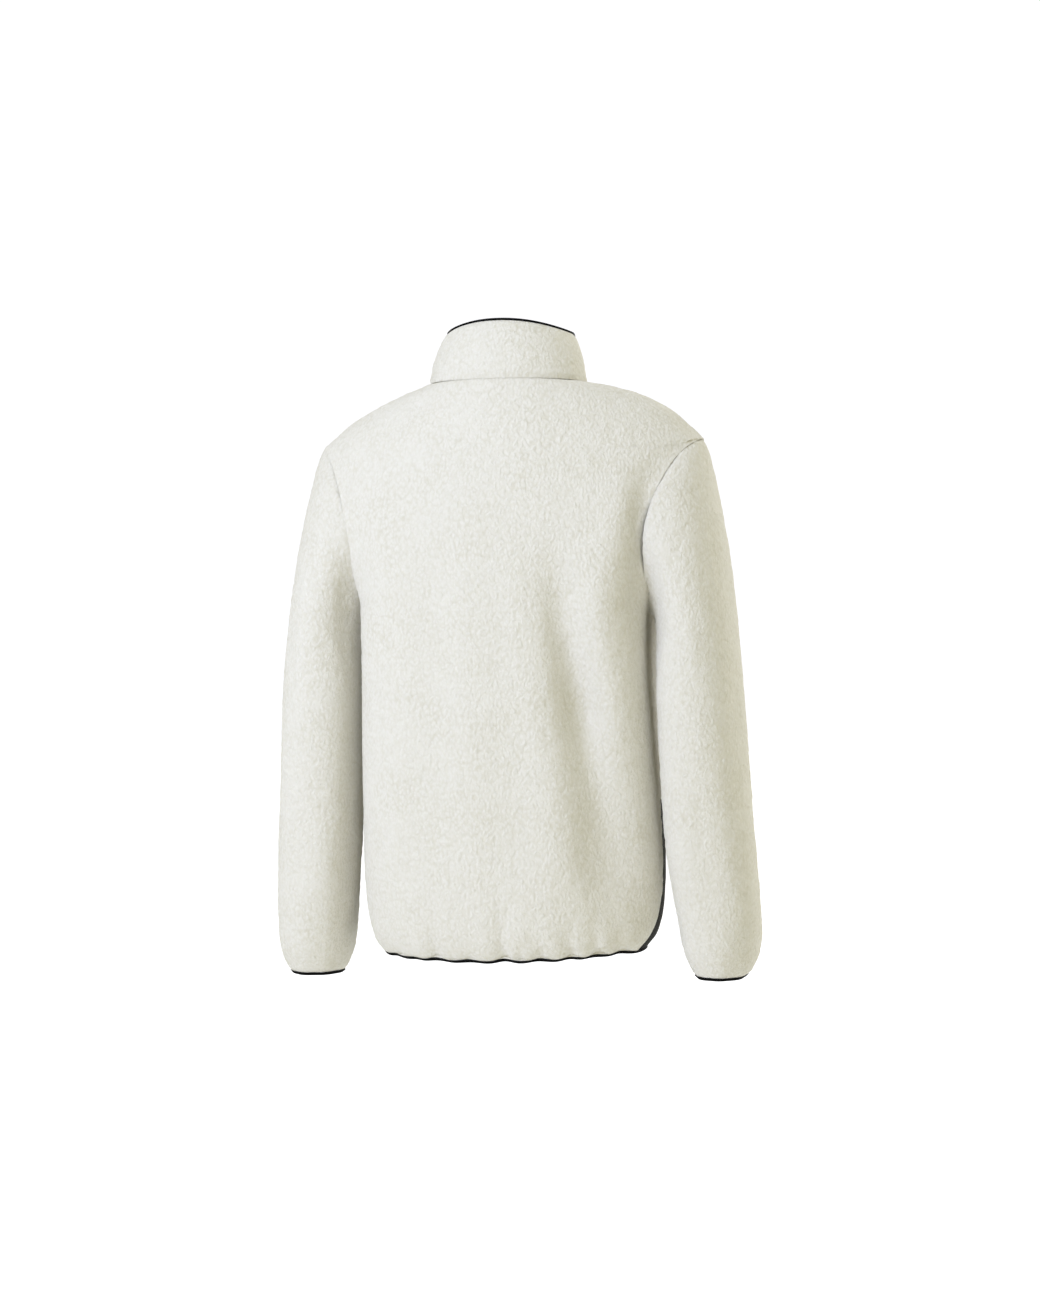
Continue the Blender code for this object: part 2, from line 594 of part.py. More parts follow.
def make_sleeves():
    places = [0.0, 1.0, 2.0, 3.0, 4.0, 5.0, 6.0, 7.0, 8.0, 9.0, 10.0, 11.0, 12.0, 13.0, 14.0]
    places += [14.8, 15.5, 16.3, 17.0]
    points, normals, turns = sleeve_grid(places)
    grid_turns = np.repeat(turns[None, :], len(places), axis=0)
    grid_places = np.repeat(np.array(places)[:, None], len(turns), axis=1)
    lift = sleeve_lift(grid_turns, grid_places)[..., None]
    outer = points + normals * lift
    inner = points + normals * (lift - sherpa_wall)
    share = smooth_step(np.array(places) / places[-1])[:, None, None]
    sway = as_table(sleeve_sway_columns, sleeve_sway_rows)
    for label, side in (("left", 1), ("right", -1)):
        mirror = np.array([side, 1.0, 1.0])
        drop = np.array([0.0, 0.0, -sleeve_drop[label]]) * share
        near = np.interp(places, sway["ring"], sway[label + "_in"])[:, None]
        far = np.interp(places, sway["ring"], sway[label + "_out"])[:, None]
        outness = (1 - np.cos(turns))[None, :] / 2
        move = np.zeros(outer.shape)
        move[..., 0] = side * (near * (1 - outness) + far * outness)
        cloth = outer * mirror + move + drop
        lining_side = inner * mirror + move + drop
        wall_between("sleeve_" + label, cloth, lining_side, "cream_sherpa", closed=True)
        edge_way = unit(cloth[-1] - cloth[-2])
        edge_normals = normals[-1] * mirror
        name = "cuff_binding_" + label
        binding(name, cloth[-1], edge_normals, edge_way, binding_height, closed=True)


def binding(name, edge, normals, ways, height, closed):
    """A folded strip over a cut edge: a rounded band that goes on from the wall."""
    profile = [
        (seam_gap, -0.0004),
        (seam_gap + height * 0.45, 0.0),
        (seam_gap + height, -0.0012),
        (seam_gap + height, 0.0012 - sherpa_wall),
        (seam_gap + height * 0.45, -sherpa_wall),
        (seam_gap, 0.0004 - sherpa_wall),
    ]
    rings = [edge + ways * along + normals * out for along, out in profile]
    count = len(profile)
    columns = len(edge)
    points = np.concatenate(rings)
    faces = []
    for i in range(columns if closed else columns - 1):
        following = (i + 1) % columns
        for k in range(count):
            turn = (k + 1) % count
            faces.append([k * columns + i, k * columns + following])
            faces[-1] += [turn * columns + following, turn * columns + i]
    if not closed:
        faces.append([k * columns for k in range(count)])
        faces.append([k * columns + columns - 1 for k in reversed(range(count))])
    return make_object(name, points, faces, "black_binding")


def edge_band(name, table, ring, next_ring, height, folded):
    """The binding along the hem or along the top of the collar, open at the zip."""
    end = abs(float(angle_at_x(table, zip_half_opening, ring)))
    angles = row_angles(table, ring, -end, math.pi + end, binding_columns, (0.0, 0.0))
    places = np.full(angles.shape, float(ring))
    points = ring_point(table, angles, places)
    normals = ring_normal(table, angles, places)
    ways = unit(points - ring_point(table, angles, np.full(angles.shape, float(next_ring))))
    if folded:
        points = points + normals * fold_lift(points, normals)[:, None]
    binding(name, points, normals, ways, height, closed=False)


def zip_line(x, top):
    """Points and normals up the centre front at x from the middle, up to a collar ring."""
    points = []
    normals = []
    for table, rings in (
        (body, [0.0, 0.6, 1.3, 2.0, 3.0, 4.0, 5.0, 6.0, 7.0, 8.0, 9.0, 10.0, 11.0, 12.0, 13.5, 15.0]),
        (body, [16.0, 17.0, 18.0, neck_ring]),
        (collar, [0.02, 1.0, 2.0, 3.0, top]),
    ):
        for ring in rings:
            angle = angle_at_x(table, x, ring)
            points.append(ring_point(table, angle, ring))
            normals.append(ring_normal(table, angle, ring))
    return np.array(points), np.array(normals)


def strip(name, near, far, depth, finish, top):
    """A band between two lines up the front, from one depth under the pile to another."""
    rows = []
    for x in (near, far):
        points, normals = zip_line(x, top)
        points = points + normals * fold_lift(points, normals)[:, None]
        rows.append((points, normals))
    outer = np.stack([points - normals * depth[0] for points, normals in rows], axis=1)
    inner = np.stack([points - normals * depth[1] for points, normals in rows], axis=1)
    return wall_between(name, outer, inner, finish)


def box(name, size, place, rotation):
    cell = bmesh.new()
    bmesh.ops.create_cube(cell, size=1.0)
    bmesh.ops.scale(cell, vec=size, verts=cell.verts)
    bmesh.ops.transform(cell, matrix=Matrix.Translation(place) @ rotation, verts=cell.verts)
    mesh = bpy.data.meshes.new(name)
    cell.to_mesh(mesh)
    cell.free()
    piece = bpy.data.objects.new(name, mesh)
    bpy.context.scene.collection.objects.link(piece)
    return piece


def rod(name, radius, length, place, sides=12):
    """A round rod along X."""
    cell = bmesh.new()
    turn = Matrix.Rotation(math.radians(90), 4, "Y")
    bmesh.ops.create_cone(
        cell, cap_ends=True, segments=sides, radius1=radius, radius2=radius, depth=length,
        matrix=Matrix.Translation(place) @ turn,
    )
    mesh = bpy.data.meshes.new(name)
    cell.to_mesh(mesh)
    cell.free()
    piece = bpy.data.objects.new(name, mesh)
    bpy.context.scene.collection.objects.link(piece)
    return piece


def combine(target, tool, operation):
    """Joins or cuts one solid with another and keeps only the result."""
    change = target.modifiers.new(operation.lower(), "BOOLEAN")
    change.operation = operation
    change.object = tool
    depsgraph = bpy.context.evaluated_depsgraph_get()
    mesh = bpy.data.meshes.new_from_object(target.evaluated_get(depsgraph))
    target.modifiers.clear()
    target.data = mesh
    bpy.data.objects.remove(tool)


def bevel_edges(piece, width):
    cell = bmesh.new()
    cell.from_mesh(piece.data)
    bmesh.ops.bevel(cell, geom=cell.edges[:], offset=width, segments=1, affect="EDGES")
    cell.to_mesh(piece.data)
    cell.free()


def make_zip():
    near = chain_half_width + seam_gap
    far = chain_half_width + tape_width
    strip("zip_tape_left", near, far, tape_depth, "black_tape", tape_top)
    strip("zip_tape_right", -near, -far, tape_depth, "black_tape", tape_top)
    strip("zip_chain", chain_half_width, -chain_half_width, chain_depth, "black_resin", chain_top)
    angle = -math.pi / 2
    place = ring_point(collar, angle, slider_ring)
    normal = ring_normal(collar, angle, slider_ring)
    lean = math.atan2(normal[2], -normal[1])
    turn = Matrix.Rotation(-lean, 4, "X")
    middle = Vector(place) - Vector(normal) * 0.0022
    slider = box("zip_slider", slider_size, middle, turn)
    bevel_edges(slider, 0.0008)
    face = slider_size[1] / 2
    bridge_out = face + bridge_size[1] / 2 - 0.0004
    bridge = box("bridge", bridge_size, middle + Vector(normal) * bridge_out, turn)
    axis_place = middle + Vector(normal) * (face + 0.0014)
    hole = rod("hole", 0.0011, 0.006, axis_place)
    combine(bridge, hole, "DIFFERENCE")
    combine(slider, bridge, "UNION")
    slider.data.materials.clear()
    slider.data.materials.append(make_material("black_enamel"))
    make_pull(axis_place)


def make_pull(axis_place):
    """The pull tab: a bar through the slider's bridge, two arms and a long plate."""
    width, thickness, length = pull_size
    arm = 0.0014
    plain = Matrix.Identity(4)
    plate_length = length - pull_window
    plate_place = axis_place - Vector((0, 0, pull_window + plate_length / 2))
    pull = box("zip_pull", (width, thickness, plate_length), plate_place, plain)
    bevel_edges(pull, 0.0004)
    for side in (-1, 1):
        x = side * (width / 2 - arm / 2 - 0.0001)
        arm_place = axis_place + Vector((x, 0, -pull_window / 2 + 0.0001))
        part = box("arm", (arm, thickness * 0.86, pull_window + 0.0016), arm_place, plain)
        combine(pull, part, "UNION")
    bar = rod("bar", pull_bar_radius, width - arm, axis_place, sides=10)
    combine(pull, bar, "UNION")
    slot = box("slot", (0.0024, 0.01, 0.0090), axis_place - Vector((0, 0, 0.0185)), plain)
    combine(pull, slot, "DIFFERENCE")
    pull.data.transform(Matrix.Translation(-axis_place))
    pull.location = axis_place
    pull.data.materials.clear()
    pull.data.materials.append(make_material("black_enamel"))


def main():
    for old in list(bpy.data.objects):
        bpy.data.objects.remove(old)
    make_panels()
    make_collar()
    make_sleeves()
    edge_band("hem_binding", body, 0.0, 0.4, binding_height, folded=True)
    edge_band("collar_binding", collar, collar_top, collar_top - 0.3, collar_binding_height, folded=False)
    make_zip()


main()
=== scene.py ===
import math

import bmesh
import bpy
import numpy as np
from mathutils import Matrix, Vector
from mathutils.kdtree import KDTree


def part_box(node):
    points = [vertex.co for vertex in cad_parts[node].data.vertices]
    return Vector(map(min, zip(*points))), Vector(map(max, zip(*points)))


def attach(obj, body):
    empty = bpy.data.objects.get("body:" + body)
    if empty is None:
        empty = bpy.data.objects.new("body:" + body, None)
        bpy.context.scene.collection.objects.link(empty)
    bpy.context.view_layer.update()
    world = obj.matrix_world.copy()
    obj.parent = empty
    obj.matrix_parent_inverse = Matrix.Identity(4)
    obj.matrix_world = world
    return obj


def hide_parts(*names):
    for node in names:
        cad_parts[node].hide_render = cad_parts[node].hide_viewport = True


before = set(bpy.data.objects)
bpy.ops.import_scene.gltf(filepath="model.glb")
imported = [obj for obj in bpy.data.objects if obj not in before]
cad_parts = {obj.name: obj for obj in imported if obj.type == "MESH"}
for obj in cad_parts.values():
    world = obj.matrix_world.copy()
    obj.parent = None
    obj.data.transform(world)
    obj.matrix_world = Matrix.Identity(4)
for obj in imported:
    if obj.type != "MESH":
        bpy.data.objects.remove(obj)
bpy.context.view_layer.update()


# The camera looks at the jacket's back from a little to one side.
cameraSetup = {"turn": 195.0, "distance": 3.0, "height": -0.324, "sideStep": 0.0070, "lens": 69.8}
# An even pale room with a soft box on the left, on the camera's side, another on the right,
# beyond the jacket, and a weak one above. A place is how far right, nearer and up.
lightSetup = {
    "ambientColour": "#FFFAD0",
    "ambient": 0.54,
    "backdrop": 1.05,
    "keyColour": "#D3DCFF",
    "keyPower": 54.0,
    "boxSize": 1.2,
    "keyPlace": (-1.75, 1.85, 0.95),
    "fillColour": "#E4E6F4",
    "fillPower": 46.0,
    "fillPlace": (2.25, -1.55, 0.9),
    "topPower": 11.0,
    "topPlace": (0.5, 0.5, 2.0),
}
floorSetup = {
    "height": -1.05,
    "size": 30.0,
    "colour": "#F2F2F0",
    "roughness": 0.9,
    "lift": 0.90,  # its own light as the camera sees it
    "glow": 0.10,  # and as the jacket is lit by it
    "liftColour": "#ECEEFF",
}


def hexColour(code):
    # sRGB hex to linear
    parts = [int(code[i:i + 2], 16) / 255 for i in (1, 3, 5)]
    linear = [part / 12.92 if part <= 0.04045 else ((part + 0.055) / 1.055) ** 2.4 for part in parts]
    return (*linear, 1.0)


def addNode(tree, kind, settings=None, links=None):
    # settings go to inputs by name or number, or else to the node's own properties
    node = tree.nodes.new(kind)
    for name, value in (settings or {}).items():
        if isinstance(name, int) or name in node.inputs:
            node.inputs[name].default_value = value
        else:
            setattr(node, name, value)
    for name, socket in (links or {}).items():
        tree.links.new(socket, node.inputs[name])
    return node


def viewAxes():
    turn = math.radians(cameraSetup["turn"])
    right = Vector((math.cos(turn), math.sin(turn), 0))
    back = Vector((math.sin(turn), -math.cos(turn), 0))
    return turn, right, back


def makeCamera():
    turn, right, back = viewAxes()
    look = Vector((0, 0, cameraSetup["height"])) + right * cameraSetup["sideStep"]
    data = bpy.data.cameras.new("camera")
    data.lens = cameraSetup["lens"]
    camera = bpy.data.objects.new("camera", data)
    bpy.context.scene.collection.objects.link(camera)
    camera.location = look + back * cameraSetup["distance"]
    camera.rotation_euler = (math.radians(90), 0, turn)
    bpy.context.scene.camera = camera


def makeSoftBox(name, power, place, colour):
    right, back = viewAxes()[1:]
    data = bpy.data.lights.new(name, "AREA")
    data.energy = power
    data.size = lightSetup["boxSize"]
    data.color = hexColour(colour)[:3]
    lamp = bpy.data.objects.new(name, data)
    bpy.context.scene.collection.objects.link(lamp)
    aim = Vector((0, 0, cameraSetup["height"]))
    lamp.location = aim + right * place[0] + back * place[1] + Vector((0, 0, place[2]))
    lamp.rotation_euler = (aim - lamp.location).to_track_quat("-Z", "Y").to_euler()


def makeRoom():
    world = bpy.data.worlds.new("paleRoom")
    world.use_nodes = True
    tree = world.node_tree
    background = tree.nodes["Background"]
    rays = addNode(tree, "ShaderNodeLightPath")
    seen = rays.outputs["Is Camera Ray"]
    colour = addNode(
        tree, "ShaderNodeMix",
        {"data_type": "RGBA", 6: hexColour(lightSetup["ambientColour"]), 7: (1, 1, 1.02, 1)}, {0: seen},
    )
    strength = addNode(
        tree, "ShaderNodeMapRange",
        {"To Min": lightSetup["ambient"], "To Max": lightSetup["backdrop"]}, {"Value": seen},
    )
    tree.links.new(colour.outputs[2], background.inputs["Color"])
    tree.links.new(strength.outputs["Result"], background.inputs["Strength"])
    bpy.context.scene.world = world
    bpy.context.scene.view_settings.view_transform = "Standard"
    for box, tint in (("key", "keyColour"), ("fill", "fillColour"), ("top", "keyColour")):
        makeSoftBox(box + "Box", lightSetup[box + "Power"], lightSetup[box + "Place"], lightSetup[tint])
    deselectAll()
    bpy.ops.mesh.primitive_plane_add(size=floorSetup["size"], location=(0, 0, floorSetup["height"]))
    floor = bpy.context.object
    floor.name = "floor"
    material = bpy.data.materials.new("paleMattFloor")
    material.use_nodes = True
    tree = material.node_tree
    shader = tree.nodes["Principled BSDF"]
    shader.inputs["Base Color"].default_value = hexColour(floorSetup["colour"])
    shader.inputs["Roughness"].default_value = floorSetup["roughness"]
    shader.inputs["Emission Color"].default_value = hexColour(floorSetup["liftColour"])
    # the floor looks white but throws little light up under the garment
    rays = addNode(tree, "ShaderNodeLightPath")
    lift = addNode(
        tree, "ShaderNodeMapRange",
        {"To Min": floorSetup["glow"], "To Max": floorSetup["lift"]},
        {"Value": rays.outputs["Is Camera Ray"]},
    )
    tree.links.new(lift.outputs["Result"], shader.inputs["Emission Strength"])
    floor.data.materials.append(material)


def deselectAll():
    if bpy.context.object and bpy.context.object.mode != "OBJECT":
        bpy.ops.object.mode_set(mode="OBJECT")
    bpy.ops.object.select_all(action="DESELECT")


def makeActive(piece):
    deselectAll()
    piece.select_set(True)
    bpy.context.view_layer.objects.active = piece


def copyCadNode(nodeName, pieceName, joinAngle=60):
    # a CAD node's mesh is loose triangles, so its copy is merged first
    piece = bpy.data.objects.new(pieceName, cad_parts[nodeName].data.copy())
    bpy.context.scene.collection.objects.link(piece)
    makeActive(piece)
    bpy.ops.mesh.customdata_custom_splitnormals_clear()
    bpy.ops.object.mode_set(mode="EDIT")
    bpy.ops.mesh.select_all(action="SELECT")
    bpy.ops.mesh.remove_doubles(threshold=0.00001)
    bpy.ops.mesh.tris_convert_to_quads(
        face_threshold=math.radians(joinAngle), shape_threshold=math.radians(joinAngle + 10)
    )
    bpy.ops.object.mode_set(mode="OBJECT")
    piece.data.materials.clear()
    return piece


outside, inside, cutEdge = 0, 1, 2
wallAngles = {"sameFace": 42, "crease": 50}  # degrees between neighbouring faces


def markWallSides(piece):
    # sorts the faces of a cloth wall into its outside, its inside and its cut edges,
    # and creases the lines between them
    work = bmesh.new()
    work.from_mesh(piece.data)
    region = {}
    regions = []
    for start in work.faces:
        if start in region:
            continue
        members = [start]
        region[start] = len(regions)
        for face in members:
            for edge in face.edges:
                if len(edge.link_faces) != 2:
                    continue
                if edge.calc_face_angle(0) >= math.radians(wallAngles["sameFace"]):
                    continue
                for other in edge.link_faces:
                    if other not in region:
                        region[other] = len(regions)
                        members.append(other)
        regions.append(members)
    regions.sort(key=lambda members: -sum(face.calc_area() for face in members))
    middle = sum((vert.co for vert in work.verts), Vector()) / len(work.verts)
    outness = [
        sum(face.calc_area() * face.normal.dot(face.calc_center_median() - middle) for face in members)
        for members in regions[:2]
    ]
    for number, members in enumerate(regions):
        for face in members:
            if number > 1:
                face.material_index = cutEdge
            else:
                face.material_index = outside if outness[number] == max(outness) else inside
    crease = work.edges.layers.float.new("crease_edge")
    for edge in work.edges:
        kinds = {face.material_index for face in edge.link_faces}
        sharp = edge.calc_face_angle(0) > math.radians(wallAngles["crease"])
        edge[crease] = 1.0 if len(kinds) > 1 or sharp else 0.0
    work.to_mesh(piece.data)
    work.free()
    for side in (outside, inside, cutEdge):
        piece.data.materials.append(None)


def smoothByLevels(piece, levels):
    makeActive(piece)
    change = piece.modifiers.new("smooth", "SUBSURF")
    change.levels = levels
    change.render_levels = levels
    bpy.ops.object.modifier_apply(modifier=change.name)


def subdivideOutside(piece, longest):
    # halves the outside face's edges that are longer than this, four times over at most
    for turn in range(4):
        makeActive(piece)
        bpy.ops.object.mode_set(mode="EDIT")
        bpy.ops.mesh.select_mode(type="EDGE")
        bpy.ops.mesh.select_all(action="DESELECT")
        work = bmesh.from_edit_mesh(piece.data)
        found = 0
        for edge in work.edges:
            if edge.calc_length() > longest:
                if any(face.material_index == outside for face in edge.link_faces):
                    edge.select = True
                    found += 1
        bmesh.update_edit_mesh(piece.data)
        if found:
            bpy.ops.mesh.subdivide(number_cuts=1)
        bpy.ops.object.mode_set(mode="OBJECT")
        if not found:
            break


def roundEdges(piece, width, segments):
    makeActive(piece)
    change = piece.modifiers.new("roundedEdges", "BEVEL")
    change.width = width
    change.segments = segments
    change.limit_method = "ANGLE"
    bpy.ops.object.modifier_apply(modifier=change.name)


def readNumbers(items, name, kind=int, size=1):
    values = np.empty(len(items) * size, kind)
    items.foreach_get(name, values)
    return values


def readPoints(mesh):
    return readNumbers(mesh.vertices, "co", float, 3).reshape(-1, 3)


def setPoints(piece, points):
    piece.data.vertices.foreach_set("co", points.ravel())
    piece.data.update()


def clothGeometry(piece):
    # points, the cloth's outward direction at each, the way over its cut edge, and
    # which points lie on the outside face and on a cut edge
    mesh = piece.data
    points = readPoints(mesh)
    sides = readNumbers(mesh.polygons, "material_index")
    normals = readNumbers(mesh.polygons, "normal", float, 3).reshape(-1, 3)
    areas = readNumbers(mesh.polygons, "area", float)
    totals = readNumbers(mesh.polygons, "loop_total")
    corners = readNumbers(mesh.loops, "vertex_index")
    faceOfCorner = np.repeat(np.arange(len(totals)), totals)
    faceward = np.where(sides == outside, 1.0, np.where(sides == inside, -1.0, 0.0))
    overEdge = np.where(sides == cutEdge, 1.0, 0.0)
    ways = []
    for signs in (faceward, overEdge):
        pull = (normals * (areas * signs)[:, None])[faceOfCorner]
        way = np.zeros(points.shape)
        for axis in range(3):
            way[:, axis] = np.bincount(corners, weights=pull[:, axis], minlength=len(points))
        ways.append(way / np.maximum(np.linalg.norm(way, axis=1, keepdims=True), 1e-12))
    outward, edgeward = ways
    onOutside = np.zeros(len(points), bool)
    onOutside[corners[sides[faceOfCorner] == outside]] = True
    onEdge = np.zeros(len(points), bool)
    onEdge[corners[sides[faceOfCorner] == cutEdge]] = True
    return points, outward, edgeward, onOutside, onEdge


def smoothStep(value):
    value = np.clip(value, 0.0, 1.0)
    return value * value * (3 - 2 * value)


def rimDistance(points, onRim, asked):
    # how far each asked point is from the nearest point of the rim
    rim = np.nonzero(onRim)[0]
    tree = KDTree(len(rim))
    for number in rim:
        tree.insert(points[number], int(number))
    tree.balance()
    distance = np.full(len(points), 1.0)
    for number in np.nonzero(asked)[0]:
        distance[number] = tree.find(points[number])[2]
    return distance


def addGroup(piece, name, weights):
    # the weights are rounded to a few levels, so that each level is one call
    levels = 32
    group = piece.vertex_groups.new(name=name)
    steps = np.round(weights * levels).astype(int)
    for step in np.unique(steps):
        if step > 0:
            group.add([int(i) for i in np.nonzero(steps == step)[0]], step / levels, "REPLACE")


def displace(piece, texture, strength, middle, group=""):
    makeActive(piece)
    change = piece.modifiers.new(texture.name, "DISPLACE")
    change.texture = texture
    change.texture_coords = "LOCAL"
    change.strength = strength
    change.mid_level = middle
    change.vertex_group = group
    bpy.ops.object.modifier_apply(modifier=change.name)


def giveClothMap(piece, centre, radius):
    # a UV map in metres: round the piece and up it, so that a weave follows the cloth
    mesh = piece.data
    points = readPoints(mesh)
    corners = readNumbers(mesh.loops, "vertex_index")
    totals = readNumbers(mesh.polygons, "loop_total")
    starts = readNumbers(mesh.polygons, "loop_start")
    turn = np.arctan2(points[:, 1] - centre[1], points[:, 0] - centre[0])[corners]
    first = np.repeat(turn[starts], totals)
    turn = np.where(turn - first > math.pi, turn - 2 * math.pi, turn)
    turn = np.where(turn - first < -math.pi, turn + 2 * math.pi, turn)
    flat = np.stack([turn * radius, points[corners, 2]], axis=1)
    layer = mesh.uv_layers.new(name="clothMap")
    layer.data.foreach_set("uv", flat.ravel())


def finishPiece(piece, nodes, materials, body="jacket", angle=55):
    piece.data.materials.clear()
    for material in materials:
        piece.data.materials.append(material)
    makeActive(piece)
    bpy.ops.object.shade_smooth_by_angle(angle=math.radians(angle))
    deselectAll()
    if nodes:
        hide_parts(*nodes)
    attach(piece, body)


def startMaterial(name, onCloth=False):
    material = bpy.data.materials.new(name)
    material.use_nodes = True
    tree = material.node_tree
    shader = tree.nodes["Principled BSDF"]
    if onCloth:
        place = addNode(tree, "ShaderNodeUVMap", {"uv_map": "clothMap"}).outputs["UV"]
    else:
        place = addNode(tree, "ShaderNodeTexCoord").outputs["Object"]
    return material, tree, shader, place


def waveScale(period):
    # the Wave texture's scale for one band each period, in metres
    return 2 * math.pi / 20 / period


def setSurface(shader, roughness, sheen=0.0, sheenColour="#FFFFFF", specular=0.5, coat=0.0):
    shader.inputs["Roughness"].default_value = roughness
    shader.inputs["IOR"].default_value = 1.5
    shader.inputs["Specular IOR Level"].default_value = specular
    shader.inputs["Sheen Weight"].default_value = sheen
    shader.inputs["Sheen Roughness"].default_value = 0.55
    shader.inputs["Sheen Tint"].default_value = hexColour(sheenColour)
    shader.inputs["Coat Weight"].default_value = coat


def colourBetween(tree, shader, low, high, share):
    # low where the share is 0 and high where it is 1
    colour = addNode(
        tree, "ShaderNodeMix", {"data_type": "RGBA", 6: hexColour(low), 7: hexColour(high)}, {0: share}
    )
    tree.links.new(colour.outputs[2], shader.inputs["Base Color"])


def raiseBump(tree, shader, height, strength, distance):
    bump = addNode(tree, "ShaderNodeBump", {"Strength": strength, "Distance": distance}, {"Height": height})
    tree.links.new(bump.outputs["Normal"], shader.inputs["Normal"])


# Sherpa fleece: polyester pile brushed and tumbled into small matted curls. The eye
# sees a matt, soft cream in curls 3 to 4 mm wide, a little longer down the garment than
# across it. The hollows between the curls are painted darker and warmer, as painted shade,
# more in some random patches than in others.
sherpaLook = {
    "tip": "#F4F1E6",
    # painted shade: the darker, warmer colour given to the hollows between curls
    "paintedHollowShade": "#DFDAC6",
    "curlSize": 0.0033,
    "curlStretch": 0.75,
    "fibreSize": 0.0008,
    "drift": 0.0045,  # the curls wander within this distance
    "driftSize": 0.006,  # in a pattern about this wide
    "patchSize": 0.045,
    "bumpDepth": 0.0016,
}


def makeSherpaPile():
    material, tree, shader, place = startMaterial("curledSherpaPile")
    longWay = addNode(
        tree, "ShaderNodeMapping", {"Scale": (1, 1, sherpaLook["curlStretch"])}, {"Vector": place}
    ).outputs["Vector"]
    drift = addNode(
        tree, "ShaderNodeTexNoise", {"Scale": 1 / sherpaLook["driftSize"], "Detail": 2.0}, {"Vector": longWay}
    )
    centred = addNode(
        tree, "ShaderNodeVectorMath", {"operation": "SUBTRACT", 1: (0.5, 0.5, 0.5)},
        {0: drift.outputs["Color"]},
    )
    shifted = addNode(
        tree, "ShaderNodeVectorMath", {"operation": "SCALE", "Scale": sherpaLook["drift"]},
        {0: centred.outputs["Vector"]},
    )
    bent = addNode(
        tree, "ShaderNodeVectorMath", {"operation": "ADD"}, {0: longWay, 1: shifted.outputs["Vector"]}
    )
    curls = addNode(
        tree, "ShaderNodeTexVoronoi",
        {"feature": "SMOOTH_F1", "Scale": 1 / sherpaLook["curlSize"], "Smoothness": 0.5},
        {"Vector": bent.outputs["Vector"]},
    )
    fibres = addNode(
        tree, "ShaderNodeTexNoise",
        {"Scale": 1 / sherpaLook["fibreSize"], "Detail": 3.0, "Roughness": 0.65}, {"Vector": longWay},
    )
    patches = addNode(
        tree, "ShaderNodeTexNoise", {"Scale": 1 / sherpaLook["patchSize"], "Detail": 2.0}, {"Vector": place}
    )
    # painted shade between the curls: 0 near a curl's middle, rising to 1 towards its edge
    paintedHollowShade = addNode(
        tree, "ShaderNodeMapRange", {"From Min": 0.25, "From Max": 0.85},
        {"Value": curls.outputs["Distance"]},
    )
    uneven = addNode(
        tree, "ShaderNodeMath", {"operation": "MULTIPLY"},
        {0: paintedHollowShade.outputs["Result"], 1: patches.outputs["Fac"]},
    )
    # the base colour runs from the cream towards the painted shade of the hollows, scaled by random patches
    colourBetween(tree, shader, sherpaLook["tip"], sherpaLook["paintedHollowShade"], uneven.outputs["Value"])
    height = addNode(
        tree, "ShaderNodeMath", {"operation": "SUBTRACT"},
        {0: fibres.outputs["Fac"], 1: curls.outputs["Distance"]},
    )
    raiseBump(tree, shader, height.outputs["Value"], 0.9, sherpaLook["bumpDepth"])
    setSurface(shader, roughness=0.95, sheen=0.35, sheenColour="#FFFDF6", specular=0.2)
    return material


# The inside of the same fleece: its knitted ground, brushed a little. Fine upright
# wales, drawn 1.6 mm wide so that they show, with a matt, slightly fluffy surface.
groundLook = {"valley": "#D3D0C2", "rib": "#DEDCD2", "wale": 0.0016, "fluff": 0.0022, "depth": 0.0005}


def makeSherpaGround():
    material, tree, shader, place = startMaterial("knittedFleeceGround")
    wales = addNode(
        tree, "ShaderNodeTexWave",
        {"bands_direction": "X", "Scale": waveScale(groundLook["wale"]), "Distortion": 1.2, "Detail": 2.0},
        {"Vector": place},
    )
    fluff = addNode(
        tree, "ShaderNodeTexNoise", {"Scale": 1 / groundLook["fluff"], "Detail": 3.0}, {"Vector": place}
    )
    height = addNode(
        tree, "ShaderNodeMath", {"operation": "ADD"}, {0: wales.outputs["Fac"], 1: fluff.outputs["Fac"]}
    )
    colourBetween(tree, shader, groundLook["valley"], groundLook["rib"], fluff.outputs["Fac"])
    raiseBump(tree, shader, height.outputs["Value"], 0.5, groundLook["depth"])
    setSurface(shader, roughness=0.92, sheen=0.2, specular=0.25)
    return material


# Smooth black polyester plain weave, calendered. The eye sees a deep black with a soft,
# low gloss along its folds; the threads are drawn 0.9 mm apart so that they show.
wovenLook = {"thread": "#0E0E10", "between": "#060606", "pitch": 0.0009, "depth": 0.00018, "patch": 0.020}


def makeWoven(name, look, roughness):
    material, tree, shader, place = startMaterial(name, onCloth=True)
    weft, warp = (
        addNode(
            tree, "ShaderNodeTexWave",
            {"bands_direction": way, "Scale": waveScale(look["pitch"])}, {"Vector": place},
        )
        for way in "XY"
    )
    over = addNode(tree, "ShaderNodeTexChecker", {"Scale": 1 / look["pitch"]}, {"Vector": place})
    threads = addNode(
        tree, "ShaderNodeMix", {"data_type": "FLOAT"},
        {0: over.outputs["Fac"], 2: weft.outputs["Fac"], 3: warp.outputs["Fac"]},
    )
    uneven = addNode(
        tree, "ShaderNodeTexNoise", {"Scale": 1 / look["patch"], "Detail": 3.0}, {"Vector": place}
    )
    gloss = addNode(
        tree, "ShaderNodeMapRange", {"To Min": roughness - 0.06, "To Max": roughness + 0.08},
        {"Value": uneven.outputs["Fac"]},
    )
    colourBetween(tree, shader, look["between"], look["thread"], threads.outputs[0])
    tree.links.new(gloss.outputs["Result"], shader.inputs["Roughness"])
    raiseBump(tree, shader, threads.outputs[0], 0.6, look["depth"])
    setSurface(shader, roughness=roughness, specular=0.06)
    return material


# Fold-over elastic: black knitted polyamide, matt, with fine ribs across its length,
# drawn 1.1 mm apart so that they show.
bindingLook = {"rib": "#0D0D0D", "groove": "#040404", "pitch": 0.0011, "yarn": 0.0007, "depth": 0.0003}


